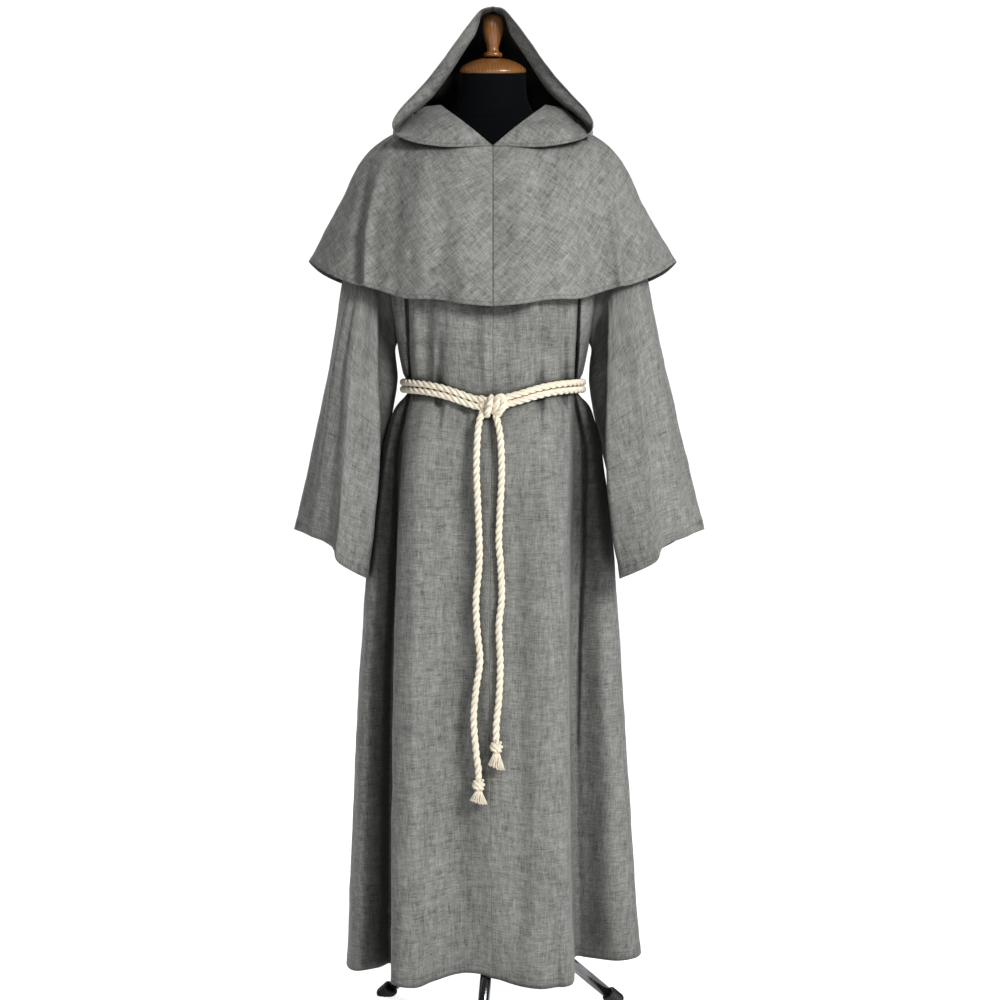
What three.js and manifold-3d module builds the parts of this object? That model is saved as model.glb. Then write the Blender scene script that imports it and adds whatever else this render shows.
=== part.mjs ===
// Monk habit on a dress form: a hooded linen habit with a rope belt, worn by a jersey-covered
// torso that stands on a chrome tripod.  Millimetres, +Z up, front towards -Y, floor at Z = 0.
import * as THREE from 'three';
import { mergeVertices } from 'three/addons/utils/BufferGeometryUtils.js';
import Module from 'manifold-3d';

const wasm = await Module();
wasm.setup();

// ---------------------------------------------------------------- driving dimensions
const CLOTH = 1.6;                 // wall of the washed linen
const SEAM = 0.3;                  // daylight between two sewn pieces
const PLAN_X = 11.0;               // middle of the whole outline, across
const PLAN_Y = -42.9;              // middle of the whole outline, front to back

const HEM = 100;                   // height of the skirt's hem above the floor
const WAIST = 1140;                // height of the belt at the sides
const UNDERARM = 1215;             // bottom of the armhole
const WAIST_OVAL = { across: 152, front: 106, back: 94 };
const CHEST_OVAL = { across: 170, front: 124, back: 110 };
const SHOULDER = { neckX: 75, neckZ: 1646.3, endX: 205, slope: 0.7 };
const COLLAR = { frontY: 98, frontZ: 1530, backY: 72, backZ: 1598 };
const ARMHOLE_DEPTH = 58;
const SKIRT_LEAN = 5;              // the skirt swings this far to -X half way down
const CAPE_LEAN = 3;               // the cape sits this far to -X over the chest

const ROPE = 12;                   // diameter of the belt rope
const ROPE_SIDES = 8;
const BELT_DROP = { left: 32, right: 27, halfWidth: 78 };   // the belt sags to its knot

const FINIAL_TOP = 1794.3;
const POLE_RADIUS = 12;
const FOOT = { radius: 15, height: 31, circle: 250, bearings: [-95.5, 24.5, 144.5] };
const LEG = { radius: 10, slope: 0.86, toe: 2 };   // toe: height of its axis at the foot's middle
const HUB = { radius: 24, low: 172, high: 222 };
const TORSO_BOTTOM = 930;

// ---------------------------------------------------------------- finishes
const finish = (color, roughness, metalness = 0) =>
  new THREE.MeshStandardMaterial({ color, roughness, metalness });
const linen = finish(0x8d8982, 0.95);
const cotton = finish(0xdcd3c0, 0.9);
const jersey = finish(0x121214, 0.85);
const wood = finish(0xb98a55, 0.45);
const chrome = finish(0xc8cacc, 0.15, 1);
const rubber = finish(0x141414, 0.8);

// ---------------------------------------------------------------- small maths
const mix = (a, b, t) => a + (b - a) * t;
const clamp01 = (t) => Math.min(1, Math.max(0, t));
const ease = (a, b, x) => {
  const t = clamp01((x - a) / (b - a));
  return t * t * (3 - 2 * t);
};
const bell = (x, width) => Math.exp(-((x / width) ** 2));
const radians = THREE.MathUtils.degToRad;

// A smooth track through a table: the rows are sorted by their key column.
function track(rows, key, column) {
  const xs = rows.map((row) => row[key]);
  const ys = rows.map((row) => row[column]);
  const last = xs.length - 1;
  const slope = (i) => {
    const a = Math.max(0, i - 1);
    const b = Math.min(last, i + 1);
    return (ys[b] - ys[a]) / (xs[b] - xs[a]);
  };
  return (x) => {
    if (x <= xs[0]) return ys[0];
    if (x >= xs[last]) return ys[last];
    let i = 0;
    while (x > xs[i + 1]) i += 1;
    const h = xs[i + 1] - xs[i];
    const t = (x - xs[i]) / h;
    const low = (1 + 2 * t) * (1 - t) ** 2 * ys[i] + t * (1 - t) ** 2 * h * slope(i);
    const high = t * t * (3 - 2 * t) * ys[i + 1] + t * t * (t - 1) * h * slope(i + 1);
    return low + high;
  };
}

// Rows of named columns, given as a header and short lines of numbers.
const table = (header, lines) => {
  const names = header.split(' ');
  return lines.map((line) => Object.fromEntries(line.map((value, i) => [names[i], value])));
};

// Every value between two numbers, in even steps, both ends included.
const steps = (from, to, count) =>
  Array.from({ length: count + 1 }, (_, i) => mix(from, to, i / count));

// Splits each interval of a list into equal shares.
const refine = (list, shares) =>
  list.slice(0, -1).flatMap((a, i) => steps(a, list[i + 1], shares).slice(0, -1))
    .concat(list[list.length - 1]);

// ---------------------------------------------------------------- walls and tubes
function solidFrom(points, faces) {
  const geometry = new THREE.BufferGeometry();
  geometry.setAttribute('position', new THREE.Float32BufferAttribute(points.flat(), 3));
  geometry.setIndex(faces.flat());
  return geometry;
}

// A cloth wall: surface(u, v) gives its outer face, and the inner face lies one cloth inside.
// turn is +1 where u x v points outwards, ring joins the last column to the first.
function clothWall(surface, us, vs, { turn = 1, ring = false, keep = (p) => p } = {}) {
  const columns = ring ? us.slice(0, -1) : us;
  const across = columns.length;
  const nudge = 1e-3;
  const uSpan = us[us.length - 1] - us[0];
  const vSpan = vs[vs.length - 1] - vs[0];
  const at = (u, v) => new THREE.Vector3(...surface(u, v));
  const limit = (x, list) => {
    const [low, high] = [Math.min(list[0], list.at(-1)), Math.max(list[0], list.at(-1))];
    return Math.min(Math.max(x, low), high);
  };
  const outer = [];
  const inner = [];
  for (const v of vs) {
    for (const u of columns) {
      const p = at(u, v);
      const uA = ring ? u - nudge * uSpan : limit(u - nudge * uSpan, us);
      const uB = ring ? u + nudge * uSpan : limit(u + nudge * uSpan, us);
      const du = at(uB, v).sub(at(uA, v));
      const dv = at(u, limit(v + nudge * vSpan, vs)).sub(at(u, limit(v - nudge * vSpan, vs)));
      const normal = du.cross(dv).normalize().multiplyScalar(turn * CLOTH);
      outer.push(keep([p.x, p.y, p.z]));
      inner.push(keep([p.x - normal.x, p.y - normal.y, p.z - normal.z]));
    }
  }
  const rows = vs.length;
  const sheet = rows * across;
  const faces = [];
  const quad = (a, b, c, d) => {
    if (turn > 0) faces.push([a, b, c], [a, c, d]);
    else faces.push([a, c, b], [a, d, c]);
  };
  const spans = ring ? across : across - 1;
  for (let j = 0; j < rows - 1; j += 1) {
    for (let i = 0; i < spans; i += 1) {
      const a = j * across + i;
      const b = j * across + ((i + 1) % across);
      quad(a, b, b + across, a + across);
      quad(sheet + a, sheet + a + across, sheet + b + across, sheet + b);
    }
  }
  for (let i = 0; i < spans; i += 1) {
    const b = (i + 1) % across;
    const top = (rows - 1) * across;
    quad(i, sheet + i, sheet + b, b);
    quad(top + i, top + b, sheet + top + b, sheet + top + i);
  }
  if (!ring) {
    for (let j = 0; j < rows - 1; j += 1) {
      const a = j * across;
      const b = a + across - 1;
      quad(a, a + across, sheet + a + across, sheet + a);
      quad(b, sheet + b, sheet + b + across, b + across);
    }
  }
  return solidFrom(outer.concat(inner), faces);
}

// A round rope along a smooth path; ExtrudeGeometry carries its section.
function ropeAlong(points, stepsAlong, { radius = ROPE / 2, sides = ROPE_SIDES, closed = false } = {}) {
  const knots = points.map((p) => new THREE.Vector3(...p));
  const path = new THREE.CatmullRomCurve3(knots, closed, 'centripetal');
  const section = new THREE.Shape();
  for (let i = 0; i < sides; i += 1) {
    const angle = (i / sides) * 2 * Math.PI;
    const corner = [radius * Math.cos(angle), radius * Math.sin(angle)];
    if (i === 0) section.moveTo(...corner);
    else section.lineTo(...corner);
  }
  section.closePath();
  return new THREE.ExtrudeGeometry(section, { steps: stepsAlong, extrudePath: path, bevelEnabled: false });
}

// A body of revolution about +Z; its profile is a table of radius and height from the axis out.
function turned(profile, segments, centre = [0, 0]) {
  const geometry = new THREE.LatheGeometry(profile.map(([r, z]) => new THREE.Vector2(r, z)), segments);
  geometry.rotateX(Math.PI / 2);
  geometry.translate(centre[0], centre[1], 0);
  return geometry;
}

function solid(geometry) {
  const bare = geometry.clone();
  bare.deleteAttribute('normal');
  bare.deleteAttribute('uv');
  const welded = mergeVertices(bare, 1e-4);
  return new wasm.Manifold(new wasm.Mesh({
    numProp: 3,
    vertProperties: new Float32Array(welded.attributes.position.array),
    triVerts: new Uint32Array(welded.index.array),
  }));
}

function geometryOf(body) {
  const mesh = body.getMesh();
  const geometry = new THREE.BufferGeometry();
  geometry.setAttribute('position', new THREE.BufferAttribute(new Float32Array(mesh.vertProperties), 3));
  geometry.setIndex(Array.from(mesh.triVerts));
  return geometry;
}

// ---------------------------------------------------------------- the assembly
const habit = new THREE.Group();
habit.position.set(-PLAN_X, -PLAN_Y, 0);

function add(name, geometry, material) {
  const mesh = new THREE.Mesh(geometry, material);
  mesh.name = name;
  habit.add(mesh);
}

// ---------------------------------------------------------------- tunic
// Each row is a fold or hollow of the skirt: its bearing on the belt line, degrees from the
// front towards +X, and the place of its end on the hem.
const SKIRT_FOLDS = table('bearing x y z', [
  [-180, -18, 158, 102],
  [-168, -60, 178, 100],
  [-155, -104, 160, 102],
  [-142, -146, 170, 100],
  [-130, -184, 134, 102],
  [-118, -222, 142, 100],
  [-104, -257, 92, 97],
  [-90, -266, 12, 95],
  [-83, -246, -46, 96],
  [-77, -206, -30, 98],
  [-73, -185, -6, 99],
  [-70, -181, -72, 99],
  [-67, -177, -139, 98],
  [-55, -137, -160, 96],
  [-38, -104, -143, 103],
  [-20, -56, -130, 114],
  [-8, -20, -138, 114.5],
  [0, 0, -145, 109],
  [8, 14, -149, 107],
  [20, 47, -160, 99],
  [33, 82, -167, 96],
  [47, 112, -158, 97],
  [58, 127, -155, 97],
  [64, 141, -130, 98],
  [67.5, 145, -48, 99],
  [71, 149, 32, 101],
  [76, 172, 40, 98],
  [83, 224, 20, 97],
  [90, 262, 44, 97],
  [99, 270, 96, 98],
  [108, 238, 134, 100],
  [118, 196, 122, 102],
  [130, 158, 160, 100],
  [142, 112, 172, 100],
  [155, 64, 152, 102],
  [168, 22, 173, 100],
  [180, -18, 158, 102],
]);

// How far the skirt has spread from the belt to its hem at each level.
const SKIRT_SPREAD = table('level spread', [
  [100, 1], [200, 0.94], [400, 0.84], [600, 0.74], [800, 0.62], [900, 0.53], [1000, 0.41],
  [1045, 0.34], [1085, 0.24], [1100, 0.19], [1112, 0.11], [1121, 0.03], [1127, 0], [1160, 0],
]);
// How far the bodice has filled out from the belt to the underarm.
const BODICE_FILL = table('level fill', [
  [1120, 0], [1146, 0.02], [1160, 0.24], [1185, 0.62], [1215, 1],
]);

const foldX = track(SKIRT_FOLDS, 'bearing', 'x');
const foldY = track(SKIRT_FOLDS, 'bearing', 'y');
const foldZ = track(SKIRT_FOLDS, 'bearing', 'z');
const skirtSpread = track(SKIRT_SPREAD, 'level', 'spread');
const bodiceFill = track(BODICE_FILL, 'level', 'fill');

const wrapBearing = (bearing) => {
  if (bearing > 180) return bearing - 360;
  return bearing < -180 ? bearing + 360 : bearing;
};

function oval(size, bearing) {
  const a = radians(bearing);
  const depth = Math.cos(a) > 0 ? size.front : size.back;
  return [size.across * Math.sin(a), -depth * Math.cos(a)];
}

const beltDrop = (x, y) =>
  (y > 0 ? 0 : (x < 0 ? BELT_DROP.left : BELT_DROP.right) * bell(x, BELT_DROP.halfWidth));

// Outer face of the tunic below the underarm: bearing round the body and nominal level.
function tunicBelow(bearing, level) {
  const b = wrapBearing(bearing);
  const [waistX, waistY] = oval(WAIST_OVAL, b);
  const [chestX, chestY] = oval(CHEST_OVAL, b);
  const drop = beltDrop(waistX, waistY) * bell(level - WAIST, 110);
  const spread = skirtSpread(level);
  const fill = bodiceFill(level);
  const hip = 5 * Math.max(0, Math.cos(radians(b))) * Math.sin(Math.PI * clamp01((1122 - level) / 620));
  const x = waistX + spread * (foldX(b) - waistX) + fill * (chestX - waistX);
  const y = waistY + spread * (foldY(b) - waistY) + fill * (chestY - waistY) - hip;
  const z = level - drop * (level < UNDERARM ? 1 : 0)
    + (foldZ(b) - HEM) * clamp01((UNDERARM - level) / (UNDERARM - HEM)) ** 2;
  return [x, y, z];
}

// Above the underarm a panel narrows to its armhole, its shoulder seam and its neckline.
function tunicAbove(bearing, rise) {
  const b = wrapBearing(bearing);
  const back = Math.abs(b) > 90;
  const facing = back ? 1 : -1;
  const s = Math.sin(radians(b));
  const [, chestY] = oval(CHEST_OVAL, b);
  const x = mix(CHEST_OVAL.across, SHOULDER.endX, rise) * s;
  const topX = SHOULDER.endX * Math.abs(s);
  const q = clamp01(topX / SHOULDER.neckX);
  const collarZ = back ? COLLAR.backZ : COLLAR.frontZ;
  const collarY = back ? COLLAR.backY : COLLAR.frontY;
  const topZ = q < 1 ? mix(collarZ, SHOULDER.neckZ, q ** 2.2)
    : SHOULDER.neckZ - SHOULDER.slope * (topX - SHOULDER.neckX);
  const topY = facing * collarY * Math.sqrt(Math.max(0, 1 - q * q));
  const belly = mix(8, ARMHOLE_DEPTH, ease(0.15, 0.5, Math.abs(s))) * Math.sin(Math.PI * rise) ** 0.7;
  return [x, mix(chestY, topY, rise) + facing * belly, mix(UNDERARM, topZ, rise)];
}

// One running parameter up the panel: levels below the underarm, then 0 to 1 above it.
const tunicFace = (bearing, up) =>
  (up <= UNDERARM ? tunicBelow(bearing, up) : tunicAbove(bearing, (up - UNDERARM) / 1000));
const TUNIC_LEVELS = [100, 150, 260, 400, 540, 680, 800, 890, 960, 1015, 1060, 1095, 1125, 1150,
  1168, 1190, 1215, 1415, 1615, 1815, 2015, 2215];

const armholeX = (z) =>
  mix(CHEST_OVAL.across, SHOULDER.endX, clamp01((z - UNDERARM) / (SHOULDER.neckZ
    - SHOULDER.slope * (SHOULDER.endX - SHOULDER.neckX) - UNDERARM)));

// The skirt's swing to the side at a height; every panel swings alike, so their seams stay shut.
const swing = (z) => SKIRT_LEAN * Math.sin(Math.PI * clamp01((1122 - z) / (1122 - HEM)));

// Keeps a panel on its own side of the shoulder seam, the armhole and the centre seam.
const panelKeep = (facing, side = 0) => ([x, y, z]) => {
  const above = z > UNDERARM + 1;
  const keptY = above ? facing * Math.max(facing * y, SEAM / 2) : y;
  const reach = above ? Math.min(Math.abs(x), armholeX(z)) : Math.abs(x);
  const keptX = Math.sign(x) * reach;
  return [(side === 0 ? keptX : side * Math.max(side * keptX, SEAM / 2)) - swing(z), keptY, z];
};

const SEAM_TURN = 0.06;            // half a seam's daylight, as degrees round the belt
const FRONT_LEFT = [-90 + SEAM_TURN, -86.5, -83, -80, -77, -73, -70, -67, -61, -55, -46, -38, -29,
  -20, -13, -6, -SEAM_TURN];
const FRONT_RIGHT = [SEAM_TURN, 7, 13, 20, 27, 33, 40, 47, 53, 58, 64, 67.5, 71, 76, 83, 90 - SEAM_TURN];
const BACK = [90 + SEAM_TURN, 99, 108, 118, 124, 130, 136, 142, 149, 155, 162, 168, 180, 192, 199, 205,
  212, 218, 230, 242, 256, 270 - SEAM_TURN];

function makeTunic() {
  for (const [name, bearings, keep] of [
    ['tunic_front_left', FRONT_LEFT, panelKeep(-1, -1)],
    ['tunic_front_right', FRONT_RIGHT, panelKeep(-1, 1)],
    ['tunic_back', BACK, panelKeep(1)],
  ]) {
    add(name, clothWall(tunicFace, bearings, TUNIC_LEVELS, { keep }), linen);
  }
}

// ---------------------------------------------------------------- sleeves
// Lengthwise lines of a sleeve, shoulder to hem: out is the distance from the middle of the
// body, y and z the place.  Each line starts at its own turn of the armhole: 0 at the shoulder
// point, a quarter at the front, half at the underarm.
const SLEEVE_LINES = [
  { turn: 0, rows: table('along out y z', [            // outer fold
    [0.18, 240, 4, 1452], [0.34, 264, 4, 1345], [0.5, 284, 2, 1215], [0.66, 306, 0, 1100],
    [0.82, 330, -3, 990], [1, 354, -6, 884],
  ]) },
  { turn: 0.125, rows: table('along out y z', [
    [0.18, 228, -44, 1425], [0.34, 246, -46, 1325], [0.5, 272, -48, 1205], [0.66, 288, -48, 1090],
    [0.82, 305, -50, 975], [1, 319, -44, 874],
  ]) },
  { turn: 0.25, rows: table('along out y z', [         // front ridge
    [0.18, 215, -52, 1372], [0.34, 236, -58, 1290], [0.5, 252, -72, 1180], [0.66, 261, -78, 1075],
    [0.82, 270, -84, 960], [1, 282, -78, 858],
  ]) },
  { turn: 0.31, rows: table('along out y z', [         // the ridge's steep inner side
    [0.18, 210, -52, 1335], [0.34, 222, -60, 1258], [0.5, 234, -72, 1160], [0.66, 246, -80, 1055],
    [0.82, 258, -90, 940], [1, 270, -92, 832],
  ]) },
  { turn: 0.39, rows: table('along out y z', [         // inner crease
    [0.18, 200, -48, 1280], [0.34, 203, -58, 1205], [0.5, 201, -64, 1120], [0.66, 200, -68, 1025],
    [0.82, 208, -68, 915], [1, 223, -58, 801],
  ]) },
  { turn: 0.5, rows: table('along out y z', [          // underarm seam, against the side
    [0.18, 174, 4, 1198], [0.34, 171, 6, 1150], [0.5, 182, 8, 1088], [0.66, 206, 10, 1000],
    [0.82, 223, 12, 900], [1, 238, 14, 804],
  ]) },
  { turn: 0.625, rows: table('along out y z', [
    [0.18, 198, 50, 1285], [0.34, 188, 56, 1205], [0.5, 187, 62, 1125], [0.66, 200, 68, 1030],
    [0.82, 225, 74, 920], [1, 242, 76, 808],
  ]) },
  { turn: 0.75, rows: table('along out y z', [         // back fold
    [0.18, 222, 58, 1372], [0.34, 245, 70, 1290], [0.5, 258, 82, 1180], [0.66, 270, 90, 1070],
    [0.82, 283, 97, 950], [1, 298, 101, 846],
  ]) },
  { turn: 0.875, rows: table('along out y z', [
    [0.18, 234, 50, 1425], [0.34, 257, 54, 1325], [0.5, 277, 56, 1205], [0.66, 297, 56, 1090],
    [0.82, 317, 56, 975], [1, 335, 52, 872],
  ]) },
];
const SLEEVE_FLARE = { left: 0, right: 22 };      // the right sleeve stands out further
const SLEEVE_ROUND = steps(0, SLEEVE_LINES.length, 22);
const SLEEVE_ALONG = [1, 0.94, 0.82, 0.7, 0.58, 0.46, 0.34, 0.25, 0.16, 0.08, 0];

function armhole(turn) {
  const rise = (1 + Math.cos(turn * 2 * Math.PI)) / 2;
  const facing = Math.sin(turn * 2 * Math.PI) >= 0 ? -1 : 1;
  const endZ = SHOULDER.neckZ - SHOULDER.slope * (SHOULDER.endX - SHOULDER.neckX);
  const z = mix(UNDERARM, endZ, rise);
  return [armholeX(z) + SEAM, facing * ARMHOLE_DEPTH * Math.sin(Math.PI * rise) ** 0.7, z];
}

const sleeveTracks = SLEEVE_LINES.map(({ turn, rows }) => {
  const [out, y, z] = armhole(turn);
  return ['out', 'y', 'z'].map((column) => track([{ along: 0, out, y, z }, ...rows], 'along', column));
});
const sleeveTurn = track(
  [...SLEEVE_LINES, { turn: 1 }].map(({ turn }, line) => ({ line, turn })), 'line', 'turn');

// Outer face of a sleeve: round counts the lines, along runs from the armhole to the hem.
const sleeveFace = (side, flare) => (round, along) => {
  const count = SLEEVE_LINES.length;
  const place = ((round % count) + count) % count;
  const index = Math.floor(place);
  const t = place - index;
  const line = (k) => sleeveTracks[(k + count) % count].map((f) => f(along));
  const [a, b, c, d] = [-1, 0, 1, 2].map((k) => line(index + k));
  const lofted = b.map((_, k) => 0.5 * (2 * b[k] + (c[k] - a[k]) * t
    + (2 * a[k] - 5 * b[k] + 4 * c[k] - d[k]) * t * t + (3 * b[k] - a[k] - 3 * c[k] + d[k]) * t ** 3));
  const nearArmhole = (1 - ease(0, 0.2, along)) ** 4;
  const loop = armhole(sleeveTurn(place));
  const p = lofted.map((value, k) => mix(value, loop[k], nearArmhole));
  const outward = flare * (0.45 + 0.55 * along) * ease(0, 0.2, along) * clamp01((p[0] - 215) / 90);
  return [side * (p[0] + outward), p[1], p[2]];
};

const sleeveKeep = (side) => ([x, y, z]) =>
  [side * Math.max(side * x, z > UNDERARM - 20 ? armholeX(z) + SEAM : 0), y, z];

function makeSleeves() {
  for (const [name, side] of [['left', -1], ['right', 1]]) {
    const face = sleeveFace(side, SLEEVE_FLARE[name]);
    const wall = clothWall(face, SLEEVE_ROUND, SLEEVE_ALONG,
      { ring: true, turn: -side, keep: sleeveKeep(side) });
    add(`sleeve_${name}`, wall, linen);
  }
}

// ---------------------------------------------------------------- neckline, cape and hood
// The neck seam, from the front point (0) round the side to the back (180); out is sideways.
const NECK_SEAM = table('bearing out y z', [
  [0, 0, -104, 1553], [25, 38, -92, 1586], [50, 70, -64, 1615], [75, 89, -26, 1636],
  [100, 86, 12, 1640], [130, 64, 50, 1624], [155, 33, 72, 1608], [180, 0, 80, 1602],
]);
const neckSeam = ['out', 'y', 'z'].map((column) => track(NECK_SEAM, 'bearing', column));

// Lines of the cape from the neck seam to its hem, one row for each bearing.
const CAPE_LINES = table('bearing topOut topY topZ midOut midY midZ hemOut hemY hemZ', [
  [0, 0, -124, 1500, 0, -146, 1390, 0, -158, 1277],
  [14, 38, -124, 1508, 46, -149, 1395, 50, -158, 1281],
  [26, 66, -116, 1524, 86, -142, 1404, 98, -146, 1289],
  [40, 104, -100, 1544, 134, -126, 1416, 150, -126, 1291],
  [54, 150, -72, 1560, 184, -94, 1436, 198, -98, 1306],
  [64, 186, -44, 1562, 214, -74, 1452, 224, -92, 1313],
  [70, 196, -32, 1560, 234, -60, 1452, 246, -78, 1318],
  [80, 205, -16, 1560, 256, -32, 1458, 290, -48, 1336],
  [90, 209, 0, 1559, 268, 2, 1460, 326, 4, 1359],
  [100, 205, 16, 1559, 258, 34, 1454, 306, 46, 1338],
  [112, 190, 36, 1556, 238, 64, 1444, 262, 80, 1319],
  [128, 150, 72, 1552, 188, 102, 1430, 204, 108, 1312],
  [146, 96, 96, 1540, 122, 128, 1416, 132, 142, 1300],
  [164, 44, 108, 1528, 56, 138, 1402, 62, 140, 1292],
  [180, 0, 112, 1522, 0, 142, 1396, 0, 150, 1290],
]);
const capeTracks = ['top', 'mid', 'hem'].map((place) =>
  ['Out', 'Y', 'Z'].map((column) => track(CAPE_LINES, 'bearing', place + column)));
const CAPE_ROUND = refine(CAPE_LINES.map((row) => row.bearing), 1);
const CAPE_UP = steps(0, 1, 9);

// Outer face of one cape half: bearing from its front seam, up from 0 at the hem to 1 at the neck.
const capeFace = (side) => (bearing, up) => {
  const neck = neckSeam.map((f) => f(bearing));
  const [top, mid, hem] = capeTracks.map((place) => place.map((f) => f(bearing)));
  const rows = ['out', 'y', 'z'].map((_, k) => [
    { up: 0, value: hem[k] },
    { up: 0.42, value: mid[k] },
    { up: 0.8, value: top[k] },
    { up: 1, value: neck[k] },
  ]);
  const [out, y, z] = rows.map((row) => track(row, 'up', 'value')(up));
  const lean = CAPE_LEAN * clamp01(out / 100) * ease(0, 0.3, up) * (1 - ease(0.75, 1, up));
  return [side * out - lean, y, z];
};

const halfKeep = (side) => ([x, y, z]) => [side * Math.max(side * x, SEAM / 2), y, z];

// The rows of a hood half run back from its rim (0) to the back of the head (1).  Each row
// leaves the neck seam, lies out over the shoulder and climbs to the centre seam.
const HOOD_ROWS = table(
  'back flapOut flapY flapZ cornerOut cornerY cornerZ cheekOut cheekY cheekZ '
  + 'sideOut sideY sideZ browOut browY browZ crownY crownZ', [
    [0, 91, -112, 1552, 160, -92, 1570, 172, -66, 1604, 109, -44, 1679, 27, -57, 1785, -60, 1797],
    [0.14, 102, -84, 1596, 150, -62, 1588, 150, -38, 1614, 98.6, -20, 1689, 31, -30, 1785, -28, 1800],
    [0.4, 120, -8, 1633, 140, 8, 1622, 134, 26, 1646, 94.5, 36, 1705, 41, 36, 1768, 34, 1793],
    [0.7, 88, 72, 1626, 110, 92, 1620, 110, 106, 1642, 84, 113, 1690, 42, 112, 1724, 108, 1744],
    [1, 0, 98, 1600, 0, 120, 1598, 0, 138, 1612, 0, 148, 1636, 0, 152, 1660, 150, 1684],
  ]);
const hoodTracks = ['flap', 'corner', 'cheek', 'side', 'brow', 'crown'].map((place) =>
  ['Out', 'Y', 'Z'].map((column) =>
    (place === 'crown' && column === 'Out' ? () => 0 : track(HOOD_ROWS, 'back', place + column))));
const HOOD_LIFT = 5;               // the hood's seam edge stands just above the cape's
const HOOD_STATIONS = [0, 0.2, 0.34, 0.46, 0.66, 0.88, 1];
const HOOD_BACK = [0, 0.07, 0.14, 0.27, 0.4, 0.55, 0.7, 0.85, 1];
const HOOD_UP = refine(HOOD_STATIONS, 2);

const hoodFace = (side) => (back, up) => {
  const neck = neckSeam.map((f) => f(180 * back));
  neck[2] += HOOD_LIFT;
  const places = [neck, ...hoodTracks.map((place) => place.map((f) => f(back)))];
  const [out, y, z] = ['out', 'y', 'z'].map((_, k) =>
    track(places.map((p, i) => ({ up: HOOD_STATIONS[i], value: p[k] })), 'up', 'value')(up));
  return [side * Math.max(0, out), y, z];
};

function makeCapeAndHood() {
  for (const [name, side] of [['left', -1], ['right', 1]]) {
    const keep = halfKeep(side);
    add(`cape_${name}`, clothWall(capeFace(side), CAPE_ROUND, CAPE_UP, { turn: side, keep }), linen);
    add(`hood_${name}`, clothWall(hoodFace(side), HOOD_BACK, HOOD_UP, { turn: side, keep }), linen);
  }
}

// ---------------------------------------------------------------- rope belt
const BELT_STAND = ROPE / 2 + 1.6;     // the rope's middle stands this far off the cloth
const BELT_ENDS = { left: -4, right: 8.5 };    // bearings where the wraps enter the knot
const KNOT = { y: -120.5, radius: 5.8 };

// One turn of rope round the waist, drop millimetres below the upper one.
function beltPath(drop) {
  return steps(BELT_ENDS.right, 360 + BELT_ENDS.left, 44).map((bearing) => {
    const b = wrapBearing(bearing);
    const [x, y] = oval({
      across: WAIST_OVAL.across + BELT_STAND,
      front: WAIST_OVAL.front + BELT_STAND,
      back: WAIST_OVAL.back + BELT_STAND,
    }, b);
    return [x, y, WAIST + 6 - drop - beltDrop(x, y)];
  });
}

// The two strands that bind the knot, as steep rings round the crossing ropes.
const KNOT_RINGS = table('x z halfHeight halfDepth lean', [
  [-3, 1110, 14.5, 8, 3],
  [11, 1113, 16, 8, 7],
]);

function makeKnot() {
  const rings = KNOT_RINGS.map((ring) => {
    const points = steps(0, 2 * Math.PI, 14).slice(0, -1).map((a) => [
      ring.x + ring.lean * Math.sin(a),
      KNOT.y - ring.halfDepth * Math.cos(a),
      ring.z + ring.halfHeight * Math.sin(a),
    ]);
    return solid(ropeAlong(points, 14, { radius: KNOT.radius, closed: true }));
  });
  const core = new THREE.SphereGeometry(1, 10, 8);
  core.scale(14, 9, 12);
  core.translate(4, KNOT.y, 1111);
  return geometryOf(rings[0].add(rings[1]).add(solid(core)));
}

// Hanging ends: points chosen along each rope, from the knot down to its end knot.
const HANG_LEFT = [
  [-17, -116, 1097.5], [-24, -129, 1075], [-27, -135, 1041], [-28, -139, 993], [-26, -141, 944],
  [-24, -142, 896], [-23, -143, 840], [-29, -144, 769], [-26, -145, 710], [-22, -146, 668],
  [-29, -147, 616], [-33, -149, 567], [-28, -151, 500], [-25, -152, 480], [-25, -152, 462],
];
const HANG_RIGHT = [
  [5, -122.5, 1091.2], [11, -132, 1068], [14, -138, 1041], [15.5, -141, 993], [14, -142, 956],
  [12, -143, 920], [10.5, -145, 872], [13, -147, 840], [15.5, -149, 778], [10.5, -151, 726], [13, -152, 661],
  [10.5, -154, 600], [7, -156, 567], [6, -158, 547], [6, -158, 529],
];
const END_KNOT = { radius: 13, height: 22 };
const TASSEL = { head: 7, headHeight: 4, strands: 30, strandRadius: 1.3, sides: 3 };
const TASSELS = { left: { length: 24, spread: 16 }, right: { length: 30, spread: 15 } };

// A barrel of two hitched turns, standing over the rope's end.
function endKnot(x, y, top) {
  const { radius, height } = END_KNOT;
  const profile = [
    [0, -height], [radius * 0.55, -height], [radius * 0.92, -height * 0.85], [radius, -height * 0.68],
    [radius * 0.84, -height * 0.5], [radius, -height * 0.32], [radius * 0.92, -height * 0.14],
    [radius * 0.55, 0], [0, 0],
  ];
  return turned(profile.map(([r, z]) => [r, z + top]), 14, [x, y]);
}

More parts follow.
